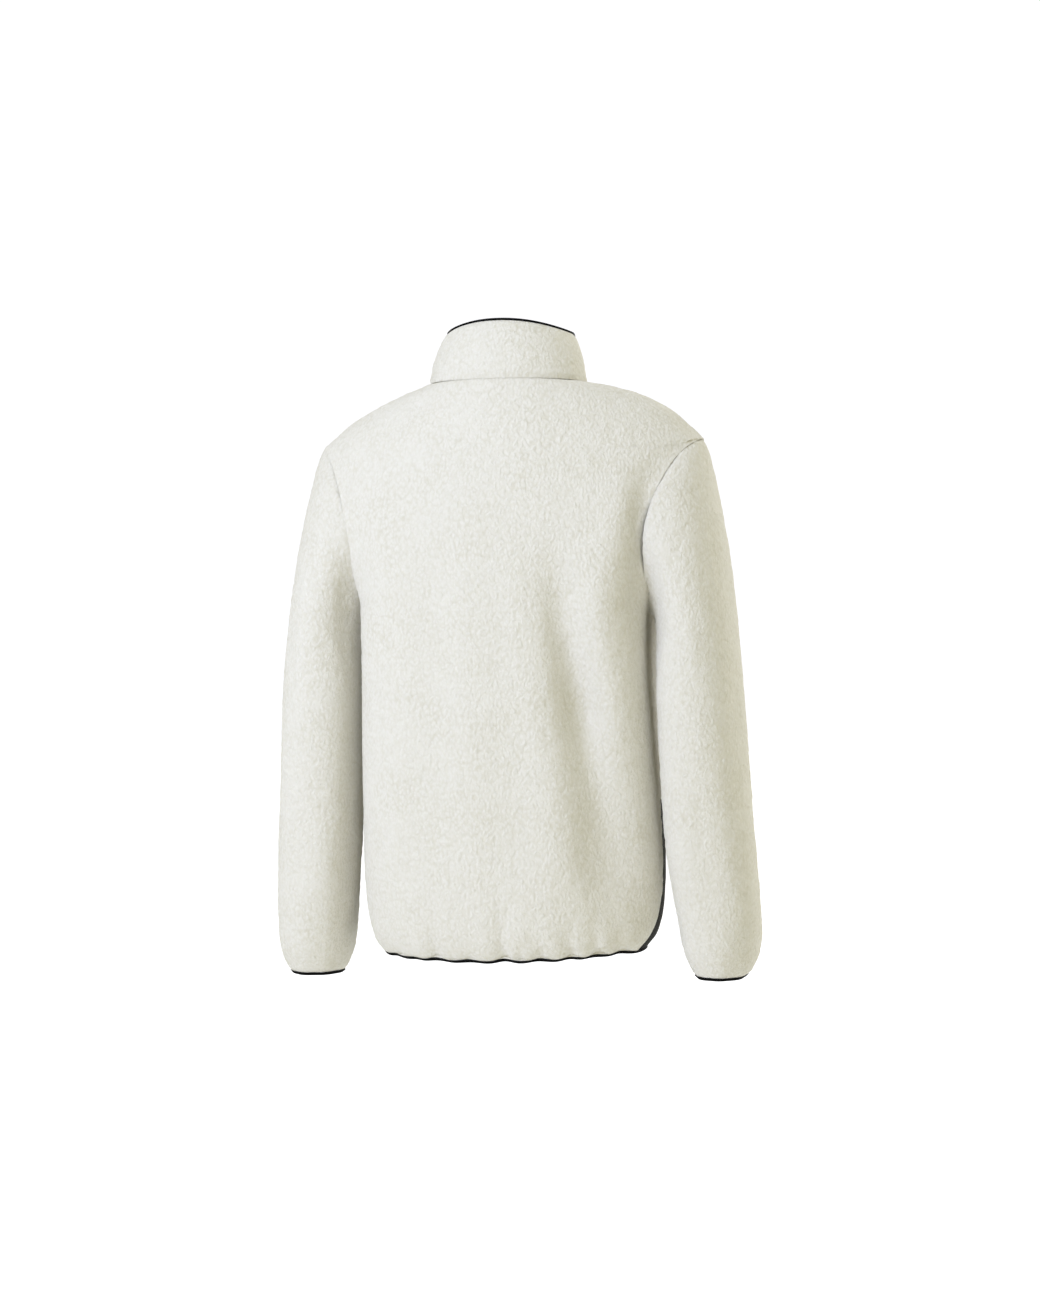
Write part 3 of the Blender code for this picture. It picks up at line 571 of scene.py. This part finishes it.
def makeKnittedBinding():
    material, tree, shader, place = startMaterial("knittedElasticBinding", onCloth=True)
    ribs = addNode(
        tree, "ShaderNodeTexWave",
        {"bands_direction": "X", "Scale": waveScale(bindingLook["pitch"]), "Distortion": 0.6, "Detail": 1.0},
        {"Vector": place},
    )
    yarn = addNode(
        tree, "ShaderNodeTexNoise", {"Scale": 1 / bindingLook["yarn"], "Detail": 2.0}, {"Vector": place}
    )
    height = addNode(
        tree, "ShaderNodeMath", {"operation": "MULTIPLY_ADD", 1: 0.4},
        {0: yarn.outputs["Fac"], 2: ribs.outputs["Fac"]},
    )
    colourBetween(tree, shader, bindingLook["groove"], bindingLook["rib"], ribs.outputs["Fac"])
    raiseBump(tree, shader, height.outputs["Value"], 0.7, bindingLook["depth"])
    setSurface(shader, roughness=0.84, specular=0.04)
    return material


# Moulded acetal teeth: satin black with a faint grain from the mould.
# Die-cast zinc slider, stove enamelled: glossy black with a slight orange peel.
# Spun polyester sewing thread: black, duller, with a fine fibre grain.
lookColumns = "base high grain depth roughness coat".split()
hardLooks = {
    "mouldedAcetalTeeth": ("#131315", "#1E1E21", 0.0004, 0.00003, 0.34, 0.0),
    "stoveEnamelledZinc": ("#1B1B1E", "#2B2B2F", 0.0016, 0.00005, 0.22, 0.4),
    "polyesterThread": ("#101012", "#232327", 0.0003, 0.00006, 0.60, 0.0),
}
wearSize = 0.006


def makeHardFinish(name):
    look = dict(zip(lookColumns, hardLooks[name]))
    material, tree, shader, place = startMaterial(name)
    grain = addNode(
        tree, "ShaderNodeTexNoise", {"Scale": 1 / look["grain"], "Detail": 3.0}, {"Vector": place}
    )
    wear = addNode(tree, "ShaderNodeTexNoise", {"Scale": 1 / wearSize, "Detail": 4.0}, {"Vector": place})
    rough = addNode(
        tree, "ShaderNodeMapRange",
        {"To Min": look["roughness"] - 0.08, "To Max": look["roughness"] + 0.12},
        {"Value": wear.outputs["Fac"]},
    )
    colourBetween(tree, shader, look["base"], look["high"], wear.outputs["Fac"])
    tree.links.new(rough.outputs["Result"], shader.inputs["Roughness"])
    raiseBump(tree, shader, grain.outputs["Fac"], 0.5, look["depth"])
    setSurface(shader, roughness=look["roughness"], coat=look["coat"])
    return material


# Soft troughs and ridges beside the main ones that the solids have. Each runs from a
# top point to a bottom point, seen square on; depth is outward.
foldColumns = "face xTop zTop xBottom zBottom halfWidth depth taper".split()
bodyFolds = [
    ("back", -0.070, -0.215, -0.118, -0.470, 0.016, -0.0060, 0.38),
    ("back", -0.098, -0.330, -0.150, -0.640, 0.024, -0.0060, 0.38),
    ("back", -0.020, -0.140, -0.052, -0.440, 0.022, 0.0024, 0.40),
    ("back", 0.018, -0.070, 0.006, -0.420, 0.026, 0.0014, 0.35),
    ("back", 0.158, -0.130, 0.160, -0.300, 0.012, -0.0028, 0.40),
    ("back", 0.120, -0.380, 0.100, -0.600, 0.018, 0.0014, 0.40),
    ("back", -0.100, -0.520, -0.130, -0.640, 0.014, -0.0024, 0.40),
    ("front", 0.128, -0.190, 0.092, -0.430, 0.018, -0.0030, 0.40),
    ("front", -0.132, -0.180, -0.086, -0.450, 0.017, -0.0034, 0.40),
    ("front", 0.072, -0.130, 0.060, -0.360, 0.020, -0.0016, 0.35),
    ("front", -0.070, -0.120, -0.054, -0.380, 0.019, -0.0018, 0.35),
    ("front", 0.150, -0.300, 0.132, -0.620, 0.016, -0.0020, 0.35),
    ("front", -0.146, -0.280, -0.126, -0.600, 0.016, -0.0022, 0.35),
    ("front", 0.095, -0.540, 0.082, -0.660, 0.013, -0.0016, 0.40),
    ("front", -0.060, -0.530, -0.070, -0.660, 0.014, -0.0018, 0.40),
]
# The elastic draws the hem into short troughs of uneven size.
gatherColumns = "face x height halfWidth depth".split()
hemGathers = [
    ("back", 0.1210, 0.030, 0.0060, -0.0016),
    ("back", 0.0700, 0.050, 0.0060, -0.0034),
    ("back", 0.0480, 0.030, 0.0045, -0.0014),
    ("back", 0.0270, 0.032, 0.0050, -0.0014),
    ("back", -0.0140, 0.056, 0.0060, -0.0036),
    ("back", -0.0340, 0.040, 0.0045, -0.0022),
    ("back", -0.0580, 0.036, 0.0055, -0.0016),
    ("back", -0.0910, 0.050, 0.0055, -0.0030),
    ("back", -0.1190, 0.062, 0.0060, -0.0032),
    ("back", -0.1420, 0.052, 0.0050, -0.0024),
    ("front", 0.1200, 0.050, 0.0055, -0.0022),
    ("front", 0.0800, 0.036, 0.0045, -0.0014),
    ("front", 0.0500, 0.054, 0.0055, -0.0024),
    ("front", -0.0520, 0.050, 0.0055, -0.0022),
    ("front", -0.0860, 0.036, 0.0045, -0.0014),
    ("front", -0.1180, 0.052, 0.0055, -0.0024),
]
hemHeight = -0.690
# Height, x and y of a sleeve's middle line, from the cuff up.
sleeveMiddle = np.array([
    (-0.70, 0.248, -0.020),
    (-0.50, 0.238, 0.013),
    (-0.35, 0.227, 0.019),
    (-0.15, 0.206, 0.010),
])
# On a sleeve, turn is 0 towards the body, 90 to the back and 180 outward.
sleeveFoldColumns = "topTurn topHeight bottomTurn bottomHeight halfTurn depth".split()
sleeveFolds = [
    (70.0, -0.200, 50.0, -0.370, 12.0, -0.0026),
    (118.0, -0.170, 104.0, -0.420, 14.0, -0.0020),
    (285.0, -0.300, 250.0, -0.420, 11.0, -0.0028),
    (262.0, -0.350, 225.0, -0.455, 10.0, -0.0024),
    (300.0, -0.390, 262.0, -0.500, 11.0, -0.0026),
    (150.0, -0.330, 138.0, -0.560, 15.0, -0.0014),
    (85.0, -0.460, 98.0, -0.640, 13.0, -0.0020),
    (205.0, -0.480, 190.0, -0.660, 14.0, -0.0016),
]
sleeveTaper = 0.4


def taperedEnds(along, taper):
    # 0 at both ends of a fold, rising to 1 over the taper's share of its length
    return smoothStep(along / taper) * smoothStep((1 - along) / taper)


def bodyLift(points, outward):
    x, z = points[:, 0], points[:, 2]
    facing = {"back": smoothStep(outward[:, 1] / 0.5), "front": smoothStep(-outward[:, 1] / 0.5)}
    lift = np.zeros(len(points))
    for row in bodyFolds:
        fold = dict(zip(foldColumns, row))
        wayX, wayZ = fold["xBottom"] - fold["xTop"], fold["zBottom"] - fold["zTop"]
        length = math.hypot(wayX, wayZ)
        along = ((x - fold["xTop"]) * wayX + (z - fold["zTop"]) * wayZ) / length**2
        off = ((x - fold["xTop"]) * wayZ - (z - fold["zTop"]) * wayX) / length
        ends = taperedEnds(along, fold["taper"])
        lift += fold["depth"] * np.exp(-((off / fold["halfWidth"]) ** 2)) * ends * facing[fold["face"]]
    for row in hemGathers:
        gather = dict(zip(gatherColumns, row))
        fade = 1 - smoothStep((z - hemHeight) / (gather["height"] * 1.3))
        shape = np.exp(-(((x - gather["x"]) / gather["halfWidth"]) ** 2))
        lift += gather["depth"] * shape * fade * facing[gather["face"]]
    return lift


def sleeveLift(points, side):
    middleX, middleY = (np.interp(points[:, 2], sleeveMiddle[:, 0], sleeveMiddle[:, i]) for i in (1, 2))
    turn = np.degrees(np.arctan2(points[:, 1] - middleY, middleX - points[:, 0] * side)) % 360
    lift = np.zeros(len(points))
    for row in sleeveFolds:
        fold = dict(zip(sleeveFoldColumns, row))
        along = (fold["topHeight"] - points[:, 2]) / (fold["topHeight"] - fold["bottomHeight"])
        path = fold["topTurn"] + (fold["bottomTurn"] - fold["topTurn"]) * np.clip(along, 0, 1)
        off = (turn - path + 180) % 360 - 180
        ends = taperedEnds(along, sleeveTaper)
        lift += fold["depth"] * np.exp(-((off / fold["halfTurn"]) ** 2)) * ends
    return lift


def addFolds(piece, sleeveSide=0):
    points, outward = clothGeometry(piece)[:2]
    lift = sleeveLift(points, sleeveSide) if sleeveSide else bodyLift(points, outward)
    setPoints(piece, points + outward * lift[:, None])


# Each sherpa panel: the CAD node it stands for, its cut (width, length, area), and for one
# whose edge stands up in a roll, the heights it lies between and its share of rollHeight.
# The back is divided less finely, so that it stays under 200,000 triangles.
frontCut = {"flat": (0.29, 0.52), "area": 0.114, "zip": True}
sleeveCut = {"flat": (0.47, 0.66), "area": 0.200, "roll": (-0.32, 0.0, 1.0)}
collarCut = {"flat": (0.52, 0.080), "area": 0.035, "roll": (-0.12, 0.02, 0.6), "zip": True}
sherpaPanels = {
    "backCloth": {"node": "back", "flat": (0.58, 0.70), "area": 0.325, "longestEdge": 0.0033},
    "frontClothLeft": {"node": "front_left", **frontCut},
    "frontClothRight": {"node": "front_right", **frontCut},
    "sleeveClothLeft": {"node": "sleeve_left", "side": 1, **sleeveCut},
    "sleeveClothRight": {"node": "sleeve_right", "side": -1, **sleeveCut},
    "collarCloth": {"node": "collar", **collarCut},
}
pile = {
    "longestEdge": 0.0030,
    "curlWidth": 0.0064,
    "curlHeight": 0.0011,
    "clumpWidth": 0.018,
    "clumpHeight": 0.0016,
    "seamReach": 0.0045,  # how far from a seam the pile is pressed down
    "seamDepth": 0.0013,
    "armholeReach": 0.0110,  # beside the sleeve the body's cloth fills up a little
    "armholeDepth": -0.0008,
    "rolledDepth": 0.0004,  # the sleeve's and the collar's edge stand up in a soft roll
    "rollHeight": 0.0014,
    "rollPlace": 0.0050,
    "overlap": 0.00045,  # the pile meets across a seam
    # more of it low on the armholes; on the right the solids are up to 5 mm apart there, and
    # an opening of up to 4 mm is left
    "armpitOverlap": 0.0022,
    "overhang": 0.0007,  # and hangs a little over the bindings
    "stitchLine": 0.0140,  # the zip's row of stitches, from the centre front
    "stitchWidth": 0.0011,
    "stitchDepth": 0.0012,
}
# Where the pile changes, in height or across from the centre line.
marks = {
    "armholeSide": 0.150,
    "armholeFade": 0.012,
    "armholeFoot": -0.30,
    "armholeTop": -0.075,
    "armpitFoot": -0.295,
    "armpitTop": -0.175,
    "hemLine": -0.655,
    "zipEdge": 0.0095,
}


def pileTextures():
    curls = bpy.data.textures.new("curls", "VORONOI")
    curls.noise_scale = pile["curlWidth"]
    curls.distance_metric = "DISTANCE_SQUARED"
    clumps = bpy.data.textures.new("clumps", "CLOUDS")
    clumps.noise_scale = pile["clumpWidth"]
    clumps.noise_depth = 2
    return curls, clumps


def makeSherpaPanel(pieceName, textures, pileFinish, groundFinish):
    facts = sherpaPanels[pieceName]
    piece = copyCadNode(facts["node"], pieceName)
    markWallSides(piece)
    smoothByLevels(piece, 2)
    if pieceName != "collarCloth":
        addFolds(piece, facts.get("side", 0))
    subdivideOutside(piece, facts.get("longestEdge", pile["longestEdge"]))
    points, outward, edgeward, onOutside, onEdge = clothGeometry(piece)
    distance = rimDistance(points, onOutside & onEdge, onOutside)
    x, y, z = points.T
    across = np.abs(x)
    reach = np.full(len(points), pile["seamReach"])
    depth = np.full(len(points), pile["seamDepth"])
    if "roll" in facts:
        low, high, height = facts["roll"]
        rolled = smoothStep((z - low) / 0.02) * (1 - smoothStep((z - high) / 0.005))
        depth += (pile["rolledDepth"] - depth) * rolled
    else:
        nearArmhole = smoothStep((across - marks["armholeSide"]) / marks["armholeFade"])
        beside = nearArmhole * smoothStep((z - marks["armholeFoot"]) / 0.02)
        beside *= 1 - smoothStep((z - marks["armholeTop"]) / 0.02)
        reach += (pile["armholeReach"] - reach) * beside
        depth += (pile["armholeDepth"] - depth) * beside
    roll = smoothStep(distance / reach)
    sink = (1 - roll) ** 2 * depth
    if "roll" in facts:
        ridge = np.exp(-(((distance - pile["rollPlace"]) / (pile["rollPlace"] * 0.6)) ** 2))
        sink -= rolled * ridge * pile["rollHeight"] * height
    if "zip" in facts:
        groove = np.exp(-(((across - pile["stitchLine"]) / pile["stitchWidth"]) ** 2))
        sink += np.where(y < 0, groove * pile["stitchDepth"], 0.0)
    push = np.where(z < marks["hemLine"], pile["overhang"], pile["overlap"])
    push = np.where((y < 0) & (across < marks["zipEdge"]), 0.0, push)
    if "roll" not in facts:
        armpit = smoothStep((z - marks["armpitFoot"]) / 0.02)
        armpit *= 1 - smoothStep((z - marks["armpitTop"]) / 0.04)
        push = push + pile["armpitOverlap"] * armpit * nearArmhole
    push = np.where(onOutside & onEdge, push, 0.0)
    points = points - outward * np.where(onOutside, sink, 0.0)[:, None] + edgeward * push[:, None]
    setPoints(piece, points)
    addGroup(piece, "pileHeight", np.where(onOutside, 0.2 + 0.8 * roll, 0.0))
    curls, clumps = textures
    displace(piece, clumps, pile["clumpHeight"], 0.5, "pileHeight")
    displace(piece, curls, -pile["curlHeight"], 0.35, "pileHeight")
    piece.vertex_groups.clear()
    sides = readNumbers(piece.data.polygons, "material_index")
    sides[sides == cutEdge] = outside
    finishPiece(piece, [facts["node"]], [pileFinish, groundFinish])
    piece.data.polygons.foreach_set("material_index", sides)
    print(pieceName, "faces", len(piece.data.polygons))


# The smooth woven lower fronts, from the side seam to the zip.
lowerFronts = {
    "names": {"lowerFrontLeft": "lower_front_left", "lowerFrontRight": "lower_front_right"},
    "flat": (0.255, 0.190),
    "area": 0.0435,
    "puckerWidth": 0.016,
    "puckerHeight": 0.0012,
    "puckerFade": 0.012,  # they grow to full height over this far from the seams
    "mapCentre": (0.0, -0.01),
    "mapRadius": 0.16,
}


def makeLowerFront(pieceName, finish):
    node = lowerFronts["names"][pieceName]
    piece = copyCadNode(node, pieceName)
    markWallSides(piece)
    smoothByLevels(piece, 2)
    addFolds(piece)
    puckers = bpy.data.textures.new("puckers", "CLOUDS")
    puckers.noise_scale = lowerFronts["puckerWidth"]
    points, outward, edgeward, onOutside, onEdge = clothGeometry(piece)
    bumps = np.zeros(len(points))
    for number, point in enumerate(points):
        bumps[number] = puckers.evaluate(point)[3] - 0.5
    # both faces of the cloth move together and its edges stay where they are sewn
    away = rimDistance(points, onEdge, np.ones(len(points), bool))
    bumps *= lowerFronts["puckerHeight"] * smoothStep(away / lowerFronts["puckerFade"])
    setPoints(piece, points + outward * bumps[:, None])
    giveClothMap(piece, lowerFronts["mapCentre"], lowerFronts["mapRadius"])
    finishPiece(piece, [node], [finish])
    print(pieceName, "faces", len(piece.data.polygons))


# The narrow elastic bindings: the strip that shows, its centre and its radius.
bindings = {
    "hemBinding": {"node": "hem_binding", "flat": (0.0100, 0.80), "centre": (0, -0.01), "radius": 0.13},
    "collarBinding": {
        "node": "collar_binding", "flat": (0.0100, 0.380), "centre": (0, 0.01), "radius": 0.074
    },
    "cuffBindingLeft": {"node": "cuff_binding_left", "flat": (0.0100, 0.22), "radius": 0.037},
    "cuffBindingRight": {"node": "cuff_binding_right", "flat": (0.0100, 0.22), "radius": 0.037},
}
stitch = {"step": 0.0030, "length": 0.0021, "width": 0.00042, "lift": 0.00008}


def bindingCentre(facts):
    if "centre" in facts:
        return facts["centre"]
    low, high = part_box(facts["node"])
    return ((low.x + high.x) / 2, (low.y + high.y) / 2)


def makeBinding(pieceName, finish):
    facts = bindings[pieceName]
    piece = copyCadNode(facts["node"], pieceName, 30)
    smoothByLevels(piece, 2)
    giveClothMap(piece, bindingCentre(facts), facts["radius"])
    finishPiece(piece, [facts["node"]], [finish])
    print(pieceName, "faces", len(piece.data.polygons))


# The two woven tapes that carry the teeth.
zipTapes = {
    "names": {"zipTapeLeft": "zip_tape_left", "zipTapeRight": "zip_tape_right"},
    "rounding": 0.0003,
}


def makeZipTape(pieceName, finish):
    node = zipTapes["names"][pieceName]
    piece = copyCadNode(node, pieceName)
    points = readPoints(piece.data)
    layer = piece.data.uv_layers.new(name="clothMap")
    corners = readNumbers(piece.data.loops, "vertex_index")
    layer.data.foreach_set("uv", points[corners][:, [0, 2]].ravel())
    roundEdges(piece, zipTapes["rounding"], 2)
    finishPiece(piece, [node], [finish])


# Moulded zip teeth: closed, each side's teeth lie between those of the other.
teeth = {
    "pitch": 0.0029,
    "reach": 0.0041,
    "thickness": 0.0030,
    "height": 0.00125,
    "overlap": 0.0009,
    "start": 0.0100,  # above the retainer box, up the zip
    "endGap": 0.0005,
    "rounding": 0.00022,
    "chainDepth": 0.0034,  # of the CAD node, front to back
}
retainerBox = {
    "place": 0.0048,  # up the zip
    "sizes": (0.0072, 0.0036, 0.0088),
    "rim": 0.0011,
    "recess": 0.0004,
    "rounding": 0.0005,
}


def zipLine():
    # points up the middle of the closed teeth, with the outward direction at each
    points = np.unique(np.round(readPoints(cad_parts["zip_chain"].data), 6), axis=0)
    points = points[points[:, 0] > 0]
    rows = []
    for point in points:
        gaps = np.abs(np.linalg.norm(points - point, axis=1) - teeth["chainDepth"])
        partner = points[np.argmin(gaps)]
        if point[1] < partner[1]:
            rows.append((*((point + partner) / 2)[1:], *(unit(point - partner))[1:]))
    return np.array(sorted(rows, key=lambda row: row[1]))


def unit(vector):
    return vector / max(np.linalg.norm(vector), 1e-12)


def alongLine(rows, places):
    # y, z, outward y and z at each length up the line, and the line's whole length
    steps = np.hypot(np.diff(rows[:, 0]), np.diff(rows[:, 1]))
    travelled = np.concatenate([[0.0], np.cumsum(steps)])
    values = np.stack([np.interp(places, travelled, rows[:, i]) for i in range(4)], axis=1)
    return values, travelled[-1]


def makeBlock(sizes):
    deselectAll()
    bpy.ops.mesh.primitive_cube_add(size=1.0)
    block = bpy.context.object
    block.scale = sizes
    bpy.ops.object.transform_apply(location=False, rotation=False, scale=True)
    return block


def makeToothShape():
    # one tooth: a block with a waist behind its head and rounded edges
    tooth = makeBlock((teeth["reach"], teeth["thickness"], teeth["height"]))
    bpy.ops.object.mode_set(mode="EDIT")
    bpy.ops.mesh.select_mode(type="EDGE")
    work = bmesh.from_edit_mesh(tooth.data)
    for edge in work.edges:
        ends = [vert.co for vert in edge.verts]
        edge.select = abs(ends[0].x - ends[1].x) > teeth["reach"] * 0.9
    bmesh.update_edit_mesh(tooth.data)
    bpy.ops.mesh.subdivide(number_cuts=3)
    bpy.ops.mesh.select_mode(type="VERT")
    bpy.ops.mesh.select_all(action="DESELECT")
    work = bmesh.from_edit_mesh(tooth.data)
    for vert in work.verts:
        vert.select = abs(vert.co.x + teeth["reach"] * 0.25) < 0.0001
    bmesh.update_edit_mesh(tooth.data)
    bpy.ops.transform.resize(value=(1, 0.92, 0.62))
    bpy.ops.object.mode_set(mode="OBJECT")
    roundEdges(tooth, teeth["rounding"], 1)
    return tooth


def placeCopies(shape, matrices, name):
    copies = []
    for matrix in matrices:
        copy = shape.copy()
        copy.data = shape.data.copy()
        copy.data.transform(matrix)
        if matrix.determinant() < 0:
            copy.data.flip_normals()
        copy.matrix_world = Matrix.Identity(4)
        bpy.context.scene.collection.objects.link(copy)
        copies.append(copy)
    deselectAll()
    for copy in copies:
        copy.select_set(True)
    bpy.context.view_layer.objects.active = copies[0]
    bpy.ops.object.join()
    joined = copies[0]
    joined.name = name
    bpy.data.objects.remove(shape)
    return joined


def frameMatrix(across, outward, up, place):
    return Matrix((
        (across[0], outward[0], up[0], place[0]),
        (across[1], outward[1], up[1], place[1]),
        (across[2], outward[2], up[2], place[2]),
        (0, 0, 0, 1),
    ))


def makeTeeth(finish):
    rows = zipLine()
    length = alongLine(rows, np.array([0.0]))[1]
    count = int((length - (teeth["start"] + teeth["endGap"])) / teeth["pitch"] * 2)
    places = teeth["start"] + np.arange(count) * teeth["pitch"] / 2
    values = alongLine(rows, places)[0]
    matrices = []
    for number, (y, z, outY, outZ) in enumerate(values):
        side = 1 if number % 2 else -1
        across = (side, 0, 0)
        out = unit(np.array([0, outY, outZ]))
        up = np.array([0, out[2], -out[1]])
        middle = side * (teeth["reach"] / 2 - teeth["overlap"])
        matrices.append(frameMatrix(across, out, up, (middle, y, z)))
    piece = placeCopies(makeToothShape(), matrices, "zipTeeth")
    finishPiece(piece, ["zip_chain"], [finish], angle=40)
    print("zip teeth", count, "faces", len(piece.data.polygons))
    makeBottomBox(rows, finish)


def makeBottomBox(rows, finish):
    # the retainer box that the pin stands in, at the foot of the zip
    y, z, outY, outZ = alongLine(rows, np.array([retainerBox["place"]]))[0][0]
    out = unit(np.array([0, outY, outZ]))
    up = np.array([0, out[2], -out[1]])
    box = makeBlock(retainerBox["sizes"])
    box.name = "zipRetainerBox"
    bpy.ops.object.mode_set(mode="EDIT")
    bpy.ops.mesh.select_mode(type="FACE")
    bpy.ops.mesh.select_all(action="DESELECT")
    work = bmesh.from_edit_mesh(box.data)
    for face in work.faces:
        face.select = face.normal.y > 0.9
    bmesh.update_edit_mesh(box.data)
    bpy.ops.mesh.inset(thickness=retainerBox["rim"], depth=0)
    bpy.ops.mesh.inset(thickness=0.0002, depth=-retainerBox["recess"])
    bpy.ops.object.mode_set(mode="OBJECT")
    roundEdges(box, retainerBox["rounding"], 3)
    place = frameMatrix((1, 0, 0), out, up, (0, y, z))
    box.data.transform(place)
    if place.determinant() < 0:
        box.data.flip_normals()
    finishPiece(box, [], [finish], angle=40)


def bindingPath(facts):
    # points and outward directions along the middle of a binding's outer face
    points = np.unique(np.round(readPoints(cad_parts[facts["node"]].data), 6), axis=0)
    centre = bindingCentre(facts)
    turn = np.arctan2(points[:, 1] - centre[1], points[:, 0] - centre[0])
    if "centre" in facts:
        turn = (turn + math.pi / 2) % (2 * math.pi)  # an open band starts and ends at the zip
    points = points[np.argsort(turn)]
    path = []
    for start in range(0, len(points) - 5, 6):
        group = points[start:start + 6]
        middle = group.mean(0)
        radial = unit(np.array([middle[0] - centre[0], middle[1] - centre[1], 0]))
        outer = group[np.argsort(-(group - middle) @ radial)][:3]
        outer = outer[np.argsort(outer[:, 2])]
        path.append((*outer[1], *radial))
    if "centre" not in facts:
        path.append(path[0])
    return np.array(path)


def makeStitches(name, paths, finish):
    shape = makeBlock((stitch["length"], stitch["width"], stitch["width"] * 1.3))
    roundEdges(shape, stitch["width"] * 0.3, 1)
    matrices = []
    for path in paths:
        steps = np.linalg.norm(np.diff(path[:, :3], axis=0), axis=1)
        travelled = np.concatenate([[0.0], np.cumsum(steps)])
        for place in np.arange(stitch["step"], travelled[-1] - stitch["step"], stitch["step"]):
            here = np.array([np.interp(place, travelled, path[:, i]) for i in range(6)])
            ahead = np.array([np.interp(place + 0.001, travelled, path[:, i]) for i in range(3)])
            way = unit(ahead - here[:3])
            out = unit(here[3:] - way * np.dot(here[3:], way))
            up = np.cross(way, out)
            matrices.append(frameMatrix(way, out, up, here[:3] + out * stitch["lift"]))
    piece = placeCopies(shape, matrices, name)
    finishPiece(piece, [], [finish], angle=40)
    print(name, len(matrices), "faces", len(piece.data.polygons))


def finishCadNode(nodeName, finish):
    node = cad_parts[nodeName]
    for slot in node.material_slots:
        slot.material = finish
    if not node.material_slots:
        node.data.materials.append(finish)


makeCamera()
makeRoom()
print("camera, light and floor made")

pileFinish = makeSherpaPile()
groundFinish = makeSherpaGround()
textures = pileTextures()
for pieceName in sherpaPanels:
    makeSherpaPanel(pieceName, textures, pileFinish, groundFinish)
print("sherpa panels made")

wovenFinish = makeWoven("calenderedPlainWeave", wovenLook, roughness=0.56)
for pieceName in lowerFronts["names"]:
    makeLowerFront(pieceName, wovenFinish)
bindingFinish = makeKnittedBinding()
for pieceName in bindings:
    makeBinding(pieceName, bindingFinish)
print("lower fronts and bindings made")

tapeFinish = makeWoven("twillZipTape", dict(wovenLook, pitch=0.0012), roughness=0.68)
for pieceName in zipTapes["names"]:
    makeZipTape(pieceName, tapeFinish)
makeTeeth(makeHardFinish("mouldedAcetalTeeth"))
enamelFinish = makeHardFinish("stoveEnamelledZinc")
finishCadNode("zip_slider", enamelFinish)
finishCadNode("zip_pull", enamelFinish)
threadFinish = makeHardFinish("polyesterThread")
makeStitches("bindingStitches", [bindingPath(facts) for facts in bindings.values()], threadFinish)
print("zip and stitches made")
